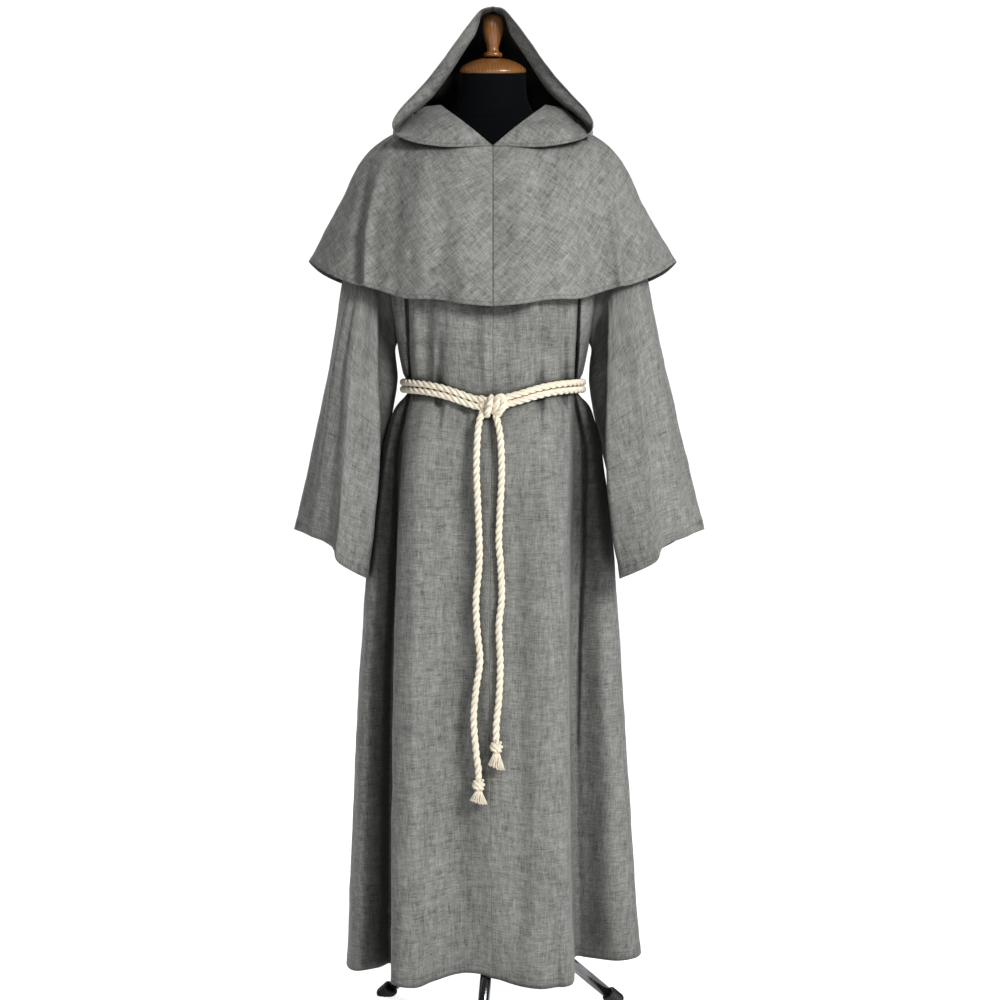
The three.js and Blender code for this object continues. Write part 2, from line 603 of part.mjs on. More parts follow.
// Loose yarn ends below a knot: short prisms fanned out from one small head.
function tassel(x, y, top, { length, spread }) {
  const { head, headHeight, strands, strandRadius, sides } = TASSEL;
  let body = solid(turned([
    [0, top - headHeight], [head, top - headHeight], [head, top], [0, top],
  ], 12, [x, y]));
  const golden = Math.PI * (3 - Math.sqrt(5));
  for (let i = 0; i < strands; i += 1) {
    const share = Math.sqrt((i + 0.5) / strands);
    const angle = i * golden;
    const root = [share * (head - strandRadius), share * spread];
    const long = length * (0.86 + 0.14 * Math.cos(i * 2.4));
    const strand = new THREE.CylinderGeometry(strandRadius, strandRadius * 0.8, 1, sides, 1);
    const points = strand.attributes.position;
    for (let k = 0; k < points.count; k += 1) {
      const down = 0.5 - points.getY(k);
      const reach = mix(root[0], root[1], down);
      points.setXYZ(k, x + reach * Math.cos(angle) + points.getX(k),
        y + 0.75 * reach * Math.sin(angle) + points.getZ(k), top - 1 - down * (long - 1));
    }
    body = body.add(outward(strand));
  }
  return geometryOf(body);
}

// A solid whose faces are turned to point out, whatever way its points were moved.
function outward(geometry) {
  const body = solid(geometry);
  if (body.volume() >= 0) return body;
  const flipped = geometry.clone();
  const index = Array.from(flipped.index.array);
  for (let i = 0; i < index.length; i += 3) [index[i + 1], index[i + 2]] = [index[i + 2], index[i + 1]];
  flipped.setIndex(index);
  return solid(flipped);
}

function makeBelt() {
  add('belt_upper', ropeAlong(beltPath(0), 44), cotton);
  add('belt_lower', ropeAlong(beltPath(ROPE + 0.7), 44), cotton);
  add('belt_knot', makeKnot(), cotton);
  for (const [name, route] of [['left', HANG_LEFT], ['right', HANG_RIGHT]]) {
    const [x, y, z] = route[route.length - 1];
    add(`belt_end_${name}`, ropeAlong(route, 30), cotton);
    add(`end_knot_${name}`, endKnot(x, y, z - SEAM), cotton);
    add(`tassel_${name}`, tassel(x, y, z - SEAM - END_KNOT.height - SEAM, TASSELS[name]), cotton);
  }
}

// ---------------------------------------------------------------- dress form
// Level sections of the torso: half width, depth to the front and to the back.
const TORSO = table('z across front back', [
  [930, 132, 86, 82], [945, 139, 92, 88], [1000, 141, 96, 94], [1060, 138, 90, 84], [1130, 130, 84, 70],
  [1200, 138, 92, 74], [1290, 156, 104, 84], [1380, 166, 106, 90], [1450, 172, 98, 90], [1500, 168, 82, 70],
  [1547, 154, 66, 58], [1567, 134, 60, 52], [1590, 104, 57, 48], [1610, 80, 56, 46], [1630, 67, 56, 46],
  [1650, 60, 56, 46], [1690, 57, 55, 46],
]);
const NECK_TILT = 8;               // degrees; the neck's top faces a little forward
const CAP_SEGMENTS = 24;

function makeTorso() {
  const around = 24;
  const points = [];
  const faces = [];
  for (const row of TORSO) {
    for (let i = 0; i < around; i += 1) {
      const a = (i / around) * 2 * Math.PI;
      const depth = Math.cos(a) > 0 ? row.front : row.back;
      const y = -depth * Math.cos(a);
      const lean = row.z > 1640 ? y * Math.tan(radians(NECK_TILT)) : 0;
      points.push([row.across * Math.sin(a), y, row.z + lean]);
    }
  }
  const rows = TORSO.length;
  for (let j = 0; j < rows - 1; j += 1) {
    for (let i = 0; i < around; i += 1) {
      const a = j * around + i;
      const b = j * around + ((i + 1) % around);
      faces.push([a, b, b + around], [a, b + around, a + around]);
    }
  }
  const bottom = points.push([0, 0, TORSO[0].z]) - 1;
  const top = points.push([0, 0, TORSO[rows - 1].z]) - 1;
  for (let i = 0; i < around; i += 1) {
    const b = (i + 1) % around;
    faces.push([bottom, b, i], [top, (rows - 1) * around + i, (rows - 1) * around + b]);
  }
  return solidFrom(points, faces);
}

// The wooden neck cap: a shallow dome on the tilted top of the neck, oval as the neck is.
function makeNeckCap() {
  const neck = TORSO[TORSO.length - 1];
  const dome = turned([
    [0, 0], [57, 0], [58.5, 3], [57.5, 7], [48, 15], [36, 20.5], [26, 23.5], [18, 25], [0, 25],
  ], CAP_SEGMENTS);
  dome.scale(1, (neck.front + neck.back + 4) / 117, 1);
  dome.translate(0, (neck.back - neck.front) / 2, 0);
  dome.rotateX(radians(NECK_TILT));
  dome.translate(0, 0, neck.z + SEAM + 0.2);
  return dome;
}

// The turned finial: a collar on the cap and a round-topped handle.
function makeFinial() {
  const base = TORSO[TORSO.length - 1].z + 27.5;
  return turned([
    [0, base], [15.5, base], [16.5, base + 4], [14, base + 8.5], [10.6, base + 12], [10.8, base + 19],
    [14.5, base + 31], [18, base + 46], [18.6, FINIAL_TOP - 24], [17.4, FINIAL_TOP - 11],
    [12, FINIAL_TOP - 3], [5, FINIAL_TOP], [0, FINIAL_TOP],
  ], 16);
}

function makeStand() {
  const leanOut = Math.atan(1 / LEG.slope);
  const hub = turned([
    [0, HUB.low], [HUB.radius, HUB.low], [HUB.radius, HUB.high], [0, HUB.high],
  ], 16);
  add('hub', hub, chrome);
  const poleLow = HUB.high + SEAM;
  const poleHigh = TORSO_BOTTOM - SEAM;
  add('pole', turned([
    [0, poleLow], [POLE_RADIUS, poleLow], [POLE_RADIUS, poleHigh], [0, poleHigh],
  ], 16), chrome);
  const hubReach = HUB.radius + SEAM;
  const hubSpace = solid(turned([
    [0, HUB.low - 50], [hubReach, HUB.low - 50], [hubReach, HUB.high + 50], [0, HUB.high + 50],
  ], 16));
  FOOT.bearings.forEach((bearing, i) => {
    const a = radians(bearing);
    const centre = [FOOT.circle * Math.cos(a), FOOT.circle * Math.sin(a)];
    const length = FOOT.circle / Math.sin(leanOut);
    const tube = new THREE.CylinderGeometry(LEG.radius, LEG.radius, length, 14);
    tube.rotateX(Math.PI / 2);
    tube.rotateY(-leanOut);
    tube.translate(FOOT.circle / 2, 0, LEG.toe + (FOOT.circle / 2) * LEG.slope);
    tube.rotateZ(a);
    const { radius, height } = FOOT;
    const footSpace = solid(turned([
      [0, -50], [radius + SEAM, -50], [radius + SEAM, height + SEAM], [0, height + SEAM],
    ], 16, centre));
    add(`leg_${i + 1}`, geometryOf(solid(tube).subtract(hubSpace).subtract(footSpace)), chrome);
    add(`foot_${i + 1}`, turned([
      [0, 0], [radius, 0], [radius, height - 3], [radius - 3, height], [0, height],
    ], 16, centre), rubber);
  });
}

function makeDressForm() {
  add('torso', makeTorso(), jersey);
  add('neck_cap', makeNeckCap(), wood);
  add('finial', makeFinial(), wood);
  makeStand();
}

makeTunic();
makeSleeves();
makeCapeAndHood();
makeBelt();
makeDressForm();

export default habit;
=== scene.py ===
# A grey linen monk habit with a rope belt, on a jersey-covered dress form with a chrome tripod.
# Lengths in the tables are millimetres on the maker's own axes; put() moves them to the part's.
import bisect
import math

import bmesh
import bpy
from mathutils import Matrix, Quaternion, Vector, noise


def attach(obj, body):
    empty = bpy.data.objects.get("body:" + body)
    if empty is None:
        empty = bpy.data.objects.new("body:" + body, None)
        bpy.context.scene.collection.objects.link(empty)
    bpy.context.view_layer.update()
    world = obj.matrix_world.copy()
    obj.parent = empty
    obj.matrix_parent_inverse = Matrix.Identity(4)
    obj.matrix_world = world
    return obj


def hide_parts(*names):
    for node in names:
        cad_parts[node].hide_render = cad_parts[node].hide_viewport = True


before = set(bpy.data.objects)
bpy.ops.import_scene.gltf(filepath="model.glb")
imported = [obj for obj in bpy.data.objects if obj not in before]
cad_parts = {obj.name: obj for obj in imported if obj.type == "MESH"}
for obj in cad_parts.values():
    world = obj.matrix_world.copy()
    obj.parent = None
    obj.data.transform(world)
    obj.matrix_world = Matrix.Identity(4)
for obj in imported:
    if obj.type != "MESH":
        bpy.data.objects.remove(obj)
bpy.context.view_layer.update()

# ------------ camera
# Stands 4.2 m in front of the form at chest height and looks slightly down, with a long lens.
LOOK_DOWN = 3.6  # degrees
camera_data = bpy.data.cameras.new("camera")
camera_data.sensor_width = 36.0
camera_data.lens = 84.96
camera = bpy.data.objects.new("camera", camera_data)
camera.location = (0.0015, -4.1571, 1.2)
camera.rotation_euler = (math.radians(90 - LOOK_DOWN), 0.0, 0.0)
bpy.context.collection.objects.link(camera)
bpy.context.scene.camera = camera
bpy.context.scene.view_settings.view_transform = "Standard"


# ------------ rope belt
# Cream cotton rope of 12 mm, laid from three strands: two wraps round the waist, a wrapped knot
# in front, and two ends that hang from it, each with a knot and a frayed tassel.
PLAN = (11.0, -42.9)  # middle of the part's plan on the maker's axes
ROPE = 12.0
ROPE_LAY = 40.0  # one full turn of a strand along the rope
STRAND = 3.25  # radius of one strand
STRAND_OFF = 2.95  # its middle from the rope's middle


def put(point):
    return Vector(((point[0] - PLAN[0]) / 1000, (point[1] - PLAN[1]) / 1000, point[2] / 1000))


def taken_back(place):
    return Vector((place.x * 1000 + PLAN[0], place.y * 1000 + PLAN[1], place.z * 1000))


def track(keys, values):
    """A smooth line through values at rising keys."""
    last = len(keys) - 1
    beside = [(max(0, i - 1), min(last, i + 1)) for i in range(last + 1)]
    slopes = [(values[b] - values[a]) / (keys[b] - keys[a]) for a, b in beside]

    def at(x):
        if x <= keys[0]:
            return values[0]
        if x >= keys[last]:
            return values[last]
        i = bisect.bisect_right(keys, x) - 1
        h = keys[i + 1] - keys[i]
        t = (x - keys[i]) / h
        low = (1 + 2 * t) * (1 - t) ** 2 * values[i] + t * (1 - t) ** 2 * h * slopes[i]
        high = t * t * (3 - 2 * t) * values[i + 1] + t * t * (t - 1) * h * slopes[i + 1]
        return low + high

    return at


def tracks(keys, places):
    return [track(keys, line) for line in zip(*places)]


def even(start, end, count):
    return [start + (end - start) * i / count for i in range(count + 1)]


def running(points):
    """The length along a line of points, from its start to each of them."""
    lengths = [0.0]
    for a, b in zip(points, points[1:]):
        lengths.append(lengths[-1] + math.dist(a, b))
    return lengths


def smooth_route(points, pace, closed=False):
    """Points every pace millimetres on a smooth line through the given ones."""
    if closed:
        points = points[-3:] + points + points[:3]
    keys = running(points)
    lines = tracks(keys, points)
    start, end = (keys[3], keys[-3]) if closed else (keys[0], keys[-1])
    count = max(8, round((end - start) / pace))
    return [Vector([line(s) for line in lines]) for s in even(start, end, count)]


def rope_frames(route):
    """Tangent and two cross directions at each point, carried along without twist."""
    frames = []
    side = None
    for i, point in enumerate(route):
        tangent = (route[min(i + 1, len(route) - 1)] - route[max(i - 1, 0)]).normalized()
        if side is None:
            side = tangent.orthogonal().normalized()
        else:
            side = (side - tangent * side.dot(tangent)).normalized()
        frames.append((point, side, tangent.cross(side)))
    return frames


def numbered_grid(bm, columns, rows):
    """A flat grid, each of its points with its column and row."""
    made = bmesh.ops.create_grid(bm, x_segments=columns, y_segments=rows, size=0.5)["verts"]
    return {v: (round((v.co.x + 0.5) * columns), round((v.co.y + 0.5) * rows)) for v in made}


def map_faces(bm, name, spots, flat):
    """Lays the faces of a numbered grid out on the named map."""
    layer = bm.loops.layers.uv.get(name) or bm.loops.layers.uv.new(name)
    faces = {f for v in spots for f in v.link_faces}
    for face in faces:
        for loop in face.loops:
            loop[layer].uv = flat(*spots[loop.vert])
    return list(faces)


def lay_rope(bm, route, radius=ROPE / 2, start_turn=0.0):
    """Three strands twisted round a route, each a grid rolled into a tube."""
    size = radius / (ROPE / 2)
    frames = rope_frames(route)
    rows, sides = len(route) - 1, 10
    lengths = running(route)
    for strand in range(3):
        spots = numbered_grid(bm, sides, rows)
        for v, (i, j) in spots.items():
            middle, side, other = frames[j]
            turn = start_turn + 2 * math.pi * (lengths[j] / (ROPE_LAY * size) + strand / 3)
            round_strand = turn - 2 * math.pi * i / sides
            out = STRAND_OFF * size
            x = out * math.cos(turn) + STRAND * size * math.cos(round_strand)
            y = out * math.sin(turn) + STRAND * size * math.sin(round_strand)
            v.co = put(middle + side * x + other * y)
        faces = map_faces(bm, "UVMap", spots, lambda i, j: (i / sides, lengths[j] / 1000))
        bmesh.ops.reverse_faces(bm, faces=faces)
        bmesh.ops.remove_doubles(bm, verts=list(spots), dist=1e-6)
    return lengths[-1]


def finish_piece(bm, node, form, material, close=True, normals=False):
    """Turns a bmesh into a finished piece that stands for the named solid."""
    if close:
        bmesh.ops.holes_fill(bm, edges=bm.edges)
    if normals:
        bmesh.ops.recalc_face_normals(bm, faces=bm.faces)
    for face in bm.faces:
        face.smooth = True
    mesh = bpy.data.meshes.new(f"{node}_{form}")
    bm.to_mesh(mesh)
    bm.free()
    piece = bpy.data.objects.new(mesh.name, mesh)
    mesh.materials.append(material)
    bpy.context.collection.objects.link(piece)
    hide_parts(node)
    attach(piece, "root")
    return piece


class Finish:
    """A material built from nodes, one call for each."""

    def __init__(self, name):
        self.material = bpy.data.materials.new(name)
        self.material.use_nodes = True
        self.tree = self.material.node_tree
        self.shader = self.tree.nodes["Principled BSDF"]

    def fill(self, node, sockets):
        for key, value in sockets.items():
            if isinstance(value, bpy.types.NodeSocket):
                self.tree.links.new(value, node.inputs[key])
            else:
                node.inputs[key].default_value = value

    def node(self, kind, inputs=None, out=0, **settings):
        made = self.tree.nodes.new(kind)
        for key, value in settings.items():
            setattr(made, key, value)
        self.fill(made, inputs or {})
        return made.outputs[out]

    def maths(self, operation, *values, clamp=False):
        return self.node("ShaderNodeMath", dict(enumerate(values)), operation=operation,
                         use_clamp=clamp)

    def stretched(self, vector, scale, detail=2.0, roughness=0.5, turn=0.0, move=(0, 0, 0)):
        """Noise drawn out along a direction: scale is per metre across and along."""
        moved = self.node("ShaderNodeMapping", {
            "Vector": vector, "Scale": (*scale, 1.0), "Rotation": (0, 0, turn), "Location": move})
        return self.node("ShaderNodeTexNoise", {
            "Vector": moved, "Scale": 1.0, "Detail": detail, "Roughness": roughness})

    def summed(self, *shares):
        total = None
        for share, value in shares:
            part = self.maths("MULTIPLY", value, share)
            total = part if total is None else self.maths("ADD", total, part)
        return total

    def band(self, value, low, high, to_low=0.0, to_high=1.0):
        return self.node("ShaderNodeMapRange", {
            "Value": value, "From Min": low, "From Max": high,
            "To Min": to_low, "To Max": to_high}, interpolation_type="SMOOTHSTEP")

    def shade(self, factor, dark, light):
        return self.node("ShaderNodeMix", {0: factor, 6: dark, 7: light}, 2, data_type="RGBA")

    def wear(self, **sockets):
        self.fill(self.shader, {name.replace("_", " "): value for name, value in sockets.items()})
        return self.material

    def bump(self, height, strength, distance):
        self.wear(Normal=self.node("ShaderNodeBump", {
            "Height": height, "Strength": strength, "Distance": distance}))


def cotton_rope():
    finish = Finish("cotton rope")
    uv = finish.node("ShaderNodeUVMap")
    across, along = (finish.node("ShaderNodeSeparateXYZ", {"Vector": uv}, out) for out in (0, 1))
    spiral = finish.summed((8.0, across), (190.0, along))
    ridges = finish.maths("SINE", finish.maths("MULTIPLY", spiral, 2 * math.pi))
    fuzz = finish.stretched(uv, (30, 900), 3, 0.7)
    finish.bump(finish.summed((0.35, ridges), (1.0, fuzz)), 0.55, 0.0006)
    tone = finish.summed((0.5, finish.stretched(uv, (9, 60), 2, 0.6)),
                         (0.5, finish.stretched(uv, (1, 14), 2, 0.6)))
    colour = finish.shade(finish.band(tone, 0.3, 0.7), (0.72, 0.63, 0.47, 1), (0.97, 0.91, 0.77, 1))
    return finish.wear(Base_Color=colour, Roughness=0.85, Sheen_Weight=0.25, Sheen_Roughness=0.5)


rope_finish = cotton_rope()

WAIST = 1140.0
WAIST_OVAL = (152.0, 106.0, 94.0)  # half width, depth to the front, depth to the back
BELT_STAND = ROPE / 2 + 1.6
BELT_DROP = (32.0, 27.0, 78.0)  # sag to the left and to the right of the knot, half width
BELT_ENDS = (-4.0, 8.5)
KNOT_Y = -120.5


def oval(size, bearing):
    a = math.radians(bearing)
    depth = size[1] if math.cos(a) > 0 else size[2]
    return size[0] * math.sin(a), -depth * math.cos(a)


def bell(x, width):
    return math.exp(-((x / width) ** 2))


def belt_drop(x, y):
    return 0.0 if y > 0 else BELT_DROP[0 if x < 0 else 1] * bell(x, BELT_DROP[2])


for name, drop, turn in (("belt_upper", 0.0, 0.4), ("belt_lower", ROPE + 0.7, 2.0)):
    wrap = []
    for bearing in even(BELT_ENDS[1], 360 + BELT_ENDS[0], 88):
        x, y = oval([half + BELT_STAND for half in WAIST_OVAL], bearing)
        wrap.append((x, y, WAIST + 6 - drop - belt_drop(x, y)))
    bm = bmesh.new()
    lay_rope(bm, smooth_route(wrap, 3.0), start_turn=turn)
    finish_piece(bm, name, "rope", rope_finish)

# The knot: a steep turn that binds the crossing wraps, a loop turned over beside it, and the
# ropes that run in under them.
KNOT_TURN = (-6.0, 1105.5, 15.5, 9.0, 4.5)  # x, z, half height, half depth, lean
KNOT_LOOP = (
    (2, -120, 1093), (5, -127, 1103), (7, -130, 1113), (10, -131, 1121), (14.5, -131, 1123),
    (18.5, -130, 1117), (18.5, -130, 1109), (15, -130, 1100), (10, -127, 1094), (6, -121, 1090),
)
KNOT_CROSSINGS = (
    ((-24, -114, 1120), (-8, -118, 1116), (8, -118, 1111), (26, -114, 1121)),
    ((-22, -114, 1107), (-8, -117, 1103), (8, -117, 1102), (26, -114, 1108)),
    ((-18, -116.5, 1098), (-9, -117, 1108), (2, -118, 1116), (12, -117, 1118)),
    ((6, -122, 1092), (6, -121, 1100), (3, -119, 1108), (-4, -117, 1110)),
)
bm = bmesh.new()
x, z, high, deep, lean = KNOT_TURN
ring = [(x + lean * math.sin(a), KNOT_Y - deep * math.cos(a), z + high * math.sin(a))
        for a in even(0, 2 * math.pi, 14)[:-1]]
lay_rope(bm, smooth_route(ring, 2.5, closed=True), start_turn=x)
lay_rope(bm, smooth_route(KNOT_LOOP, 2.0), radius=6.4)
for crossing in KNOT_CROSSINGS:
    lay_rope(bm, smooth_route(crossing, 2.5), radius=5.6)
finish_piece(bm, "belt_knot", "rope", rope_finish)

HANGING = {
    "left": ((-17, -116, 1097.5), (-24, -129, 1075), (-27, -135, 1041), (-28, -139, 993),
             (-26, -141, 944), (-24, -142, 896), (-23, -143, 840), (-29, -144, 769),
             (-26, -145, 710), (-22, -146, 668), (-29, -147, 616), (-33, -149, 567),
             (-28, -151, 500), (-25, -152, 480), (-25, -152, 462)),
    "right": ((5, -122.5, 1091.2), (11, -132, 1068), (14, -138, 1041), (15.5, -141, 993),
              (14, -142, 956), (12, -143, 920), (10.5, -145, 872), (13, -147, 840),
              (15.5, -149, 778), (10.5, -151, 726), (13, -152, 661), (10.5, -154, 600),
              (7, -156, 567), (6, -158, 547), (6, -158, 529)),
}
TASSEL_SIZE = {"left": (24.0, 16.0), "right": (30.0, 15.0)}  # length, spread
END_KNOT_HIGH = 22.0
YARN_ENDS = 90
YARN = 0.85  # radius of one yarn
GOLDEN_TURN = 2.39996  # spreads the yarns evenly round the tassel

for side, points in HANGING.items():
    x, y, z = points[-1]
    # the end knot: an overhand turn of the rope drawn into a barrel
    bm = bmesh.new()
    coil = []
    for step in range(25):
        share = step / 24
        a = 2 * math.pi * 2.1 * share
        wide = 6.6 * math.sin(math.pi * min(1, 0.16 + share * 0.74)) ** 0.3
        coil.append((x + wide * math.cos(a), y + wide * 0.92 * math.sin(a),
                     z - 5.6 - share * 10.6 + 1.2 * math.sin(2 * a)))
    lay_rope(bm, smooth_route(coil, 2.0), radius=5.4)
    lay_rope(bm, smooth_route(((x, y, z + 1), (x, y, z - 8), (x, y, z - 15), (x, y, z - 22)), 2.0),
             radius=5.0)
    end_knot = finish_piece(bm, f"end_knot_{side}", "rope", rope_finish)

    # the tassel: the rope's yarns let loose, each a thin four-sided spindle with a bend
    bm = bmesh.new()
    long, spread = TASSEL_SIZE[side]
    top = z - 0.3 - END_KNOT_HIGH - 0.3
    for i in range(YARN_ENDS):
        share = math.sqrt((i + 0.5) / YARN_ENDS)
        a = i * GOLDEN_TURN
        reach = long * (0.84 + 0.15 * math.cos(i * 2.4))
        made = bmesh.ops.create_grid(bm, x_segments=4, y_segments=4, size=0.5)["verts"]
        for v in made:
            down, a_yarn = 0.5 - v.co.y, 2 * math.pi * v.co.x
            out = 5.2 * share + (spread * share - 5.2 * share) * down ** 1.25
            curl = 1.4 * math.sin(i * 1.7 + 3.0 * down) * down
            thick = YARN * (1 - 0.35 * down)
            v.co = put((x + out * math.cos(a) + curl + thick * math.cos(a_yarn),
                        y + 0.75 * out * math.sin(a) + curl * 0.5 + thick * math.sin(a_yarn),
                        top + 2.0 - down * (reach + 1.0)))
        bmesh.ops.remove_doubles(bm, verts=made, dist=1e-6)
    tassel = finish_piece(bm, f"tassel_{side}", "yarns", rope_finish, normals=True)

    route = smooth_route(points, 3.0)
    bm = bmesh.new()
    length = lay_rope(bm, route)
    rope = finish_piece(bm, f"belt_end_{side}", "rope", rope_finish)


# ------------ tripod
# Chrome tube: a hub on the pole and three legs that run out to round black rubber feet.  The
# feet are plugs pressed over the tube ends; pole and legs are fixed in the hub.
FOOT = (15.0, 31.0, 250.0)  # radius, height, circle
FOOT_BEARINGS = (-95.5, 24.5, 144.5)
LEG_RADIUS, LEG_SLOPE, LEG_TOE = 10.0, 0.86, 2.0
HUB = (24.0, 172.0, 222.0)  # radius, bottom, top
POLE_RADIUS, POLE_TOP = 12.0, 929.7


def turned(profile, segments):
    """A profile of radius and height, spun round the upright axis."""
    bm = bmesh.new()
    chain = [bm.verts.new((r, 0.0, z)) for r, z in profile]
    edges = [bm.edges.new(pair) for pair in zip(chain, chain[1:])]
    bmesh.ops.spin(bm, geom=chain + edges, axis=(0, 0, 1), cent=(0, 0, 0), angle=2 * math.pi,
                   steps=segments, use_merge=True)
    bmesh.ops.remove_doubles(bm, verts=bm.verts, dist=1e-4)
    for v in bm.verts:
        v.co = put(v.co)
    return bm


def chrome_tube():
    finish = Finish("chrome")
    where = finish.node("ShaderNodeTexCoord", out="Object")
    scuff = finish.stretched(where, (90, 90), 3, 0.6)
    smear = finish.stretched(where, (14, 14), 2, 0.6, move=(3, 1, 0))
    finish.bump(scuff, 0.04, 0.0003)
    colour = finish.shade(finish.band(smear, 0.35, 0.65), (0.15, 0.153, 0.16, 1),
                          (0.26, 0.265, 0.275, 1))
    return finish.wear(Base_Color=colour, Metallic=1.0,
                       Roughness=finish.band(scuff, 0.3, 0.7, 0.10, 0.22))


def black_rubber():
    finish = Finish("black rubber")
    where = finish.node("ShaderNodeTexCoord", out="Object")
    grain = finish.stretched(where, (700, 700), 3, 0.6)
    dust = finish.stretched(where, (60, 60), 3, 0.6)
    finish.bump(grain, 0.25, 0.0003)
    colour = finish.shade(finish.band(dust, 0.45, 0.75), (0.012, 0.012, 0.012, 1),
                          (0.035, 0.034, 0.032, 1))
    return finish.wear(Base_Color=colour, Roughness=finish.band(grain, 0.3, 0.7, 0.5, 0.7))


chrome_finish = chrome_tube()
rubber_finish = black_rubber()

radius, low, high = HUB
bm = turned(((0, low), (radius - 2, low), (radius, low + 2), (radius, high - 12),
             (radius - 1.2, high - 11), (radius - 1.2, high - 9), (radius, high - 8),
             (radius, high - 2), (radius - 2, high), (0, high)), 48)
finish_piece(bm, "hub", "casting", chrome_finish, close=False, normals=True)

bm = turned(((0, high + 0.3), (POLE_RADIUS, high + 0.3), (POLE_RADIUS, POLE_TOP - 1),
             (POLE_RADIUS - 1, POLE_TOP), (0, POLE_TOP)), 40)
finish_piece(bm, "pole", "tube", chrome_finish, close=False, normals=True)

for number, bearing in enumerate(FOOT_BEARINGS, 1):
    a = math.radians(bearing)
    radius, tall, circle = FOOT
    toe = Vector((circle * math.cos(a), circle * math.sin(a), LEG_TOE))
    top = Vector((0, 0, LEG_TOE + circle * LEG_SLOPE))
    along = (toe - top).normalized()
    start = top + along * ((HUB[0] + 1.5) / math.sin(math.atan(1 / LEG_SLOPE)))
    end = toe - along * 19.5
    turn = Vector((0, 0, 1)).rotation_difference(along)
    bm = bmesh.new()
    made = bmesh.ops.create_cone(bm, cap_ends=True, segments=40, radius1=LEG_RADIUS,
                                 radius2=LEG_RADIUS, depth=(end - start).length)["verts"]
    for v in made:
        v.co = put((start + end) / 2 + turn @ v.co)
    finish_piece(bm, f"leg_{number}", "tube", chrome_finish, close=False, normals=True)

    # the plug follows its tube, has three grooves round it and is worn flat underneath
    profile = [(0, 0), (radius - 3.5, 0), (radius - 1, 2), (radius, 5)]
    for groove in (10, 16, 22):
        profile += [(radius, groove), (radius - 1.3, groove + 0.8), (radius - 1.3, groove + 2),
                    (radius, groove + 2.8)]
    profile += [(radius, tall - 3), (radius - 1.5, tall - 0.8), (radius - 4.4, tall), (0, tall)]
    bm = turned(profile, 40)
    for v in bm.verts:
        v.co = put(toe + along * 8 - turn @ taken_back(v.co))
    bmesh.ops.bisect_plane(bm, geom=bm.verts[:] + bm.edges[:] + bm.faces[:], plane_co=(0, 0, 0),
                           plane_no=(0, 0, 1), clear_inner=True)
    finish_piece(bm, f"foot_{number}", "plug", rubber_finish, normals=True)


# ------------ torso
# A padded shell on the pole, covered in black cotton jersey that is drawn tight and sewn shut
# round the neck; it has no arms, only rounded shoulders.
TORSO = (  # z, half width, depth to the front, depth to the back
    (930, 132, 86, 82), (945, 139, 92, 88), (1000, 141, 96, 94), (1060, 138, 90, 84),
    (1130, 130, 84, 70), (1200, 138, 92, 74), (1290, 156, 104, 84), (1380, 166, 106, 90),
    (1450, 172, 98, 90), (1500, 168, 82, 70), (1547, 154, 66, 58), (1567, 134, 60, 52),
    (1590, 104, 57, 48), (1610, 80, 56, 46), (1630, 67, 56, 46), (1650, 60, 56, 46),
    (1690, 57, 55, 46),
)
NECK_TILT = math.radians(8)
NECK_SEAM_Z = 1612.0


def columns_of(rows):
    """A smooth line down each column of a table, over its first column."""
    return tracks([row[0] for row in rows], [row[1:] for row in rows])


def clamp01(t):
    return min(1.0, max(0.0, t))


torso_lines = columns_of(TORSO)


def torso_ring(bearing, z):
    across, front, back = (line(z) for line in torso_lines)
    seam = 1.1 * bell(z - NECK_SEAM_Z, 1.6) - 0.7 * bell(abs(z - NECK_SEAM_Z) - 4, 2.5)
    x, y = oval((across + seam, front + seam, back + seam), bearing)
    return x, y, z + clamp01((z - 1630) / 60) * y * math.tan(NECK_TILT)


def black_jersey():
    finish = Finish("black jersey")
    uv = finish.node("ShaderNodeUVMap")
    ribs = finish.node("ShaderNodeTexWave", {"Vector": uv, "Scale": 210.0, "Distortion": 1.2,
                                             "Detail": 1.0}, bands_direction="X")
    loops = finish.node("ShaderNodeTexWave", {"Vector": uv, "Scale": 260.0, "Distortion": 0.8},
                        bands_direction="Y")
    lint = finish.stretched(uv, (180, 180), 3, 0.7)
    finish.bump(finish.summed((0.6, ribs), (0.4, loops)), 0.35, 0.0004)
    colour = finish.shade(finish.band(lint, 0.5, 0.8), (0.0008, 0.0012, 0.0018, 1),
                          (0.0022, 0.0028, 0.0038, 1))
    return finish.wear(Base_Color=colour, Roughness=0.9, Sheen_Weight=0.02, Sheen_Roughness=0.4,
                       Specular_IOR_Level=0.08)


def map_grid(bm, surface, across, along, outside=1, ring=False, turned=0.0, origin=0.5):
    """A grid laid on surface(u, v); its UV runs in metres of cloth from the column at origin, a
    share of the width, turned off the grain."""
    columns, rows = len(across) - 1, len(along) - 1
    spots = numbered_grid(bm, columns, rows)
    grid = {}
    for v, (i, j) in spots.items():
        v.co = put(surface(across[i], along[j]))
        grid[i, j] = v.co.copy()
    flat, rise = {}, 0.0
    for j in range(rows + 1):
        run = running([grid[i, j] for i in range(columns + 1)])
        if j:
            rise += sum(math.dist(grid[i, j], grid[i, j - 1]) for i in range(columns + 1)) / (columns + 1)
        for i, length in enumerate(run):
            flat[i, j] = (length - run[round(columns * origin)], rise)
    grain = Matrix.Rotation(turned, 2)
    faces = map_faces(bm, "UVMap", spots, lambda i, j: grain @ Vector(flat[i, j]))
    if outside < 0:
        bmesh.ops.reverse_faces(bm, faces=faces)
    if ring:
        seam = [v for v, (i, j) in spots.items() if i in (0, columns)]
        bmesh.ops.remove_doubles(bm, verts=seam, dist=1e-6)
    return {v: spot for v, spot in spots.items() if v.is_valid}


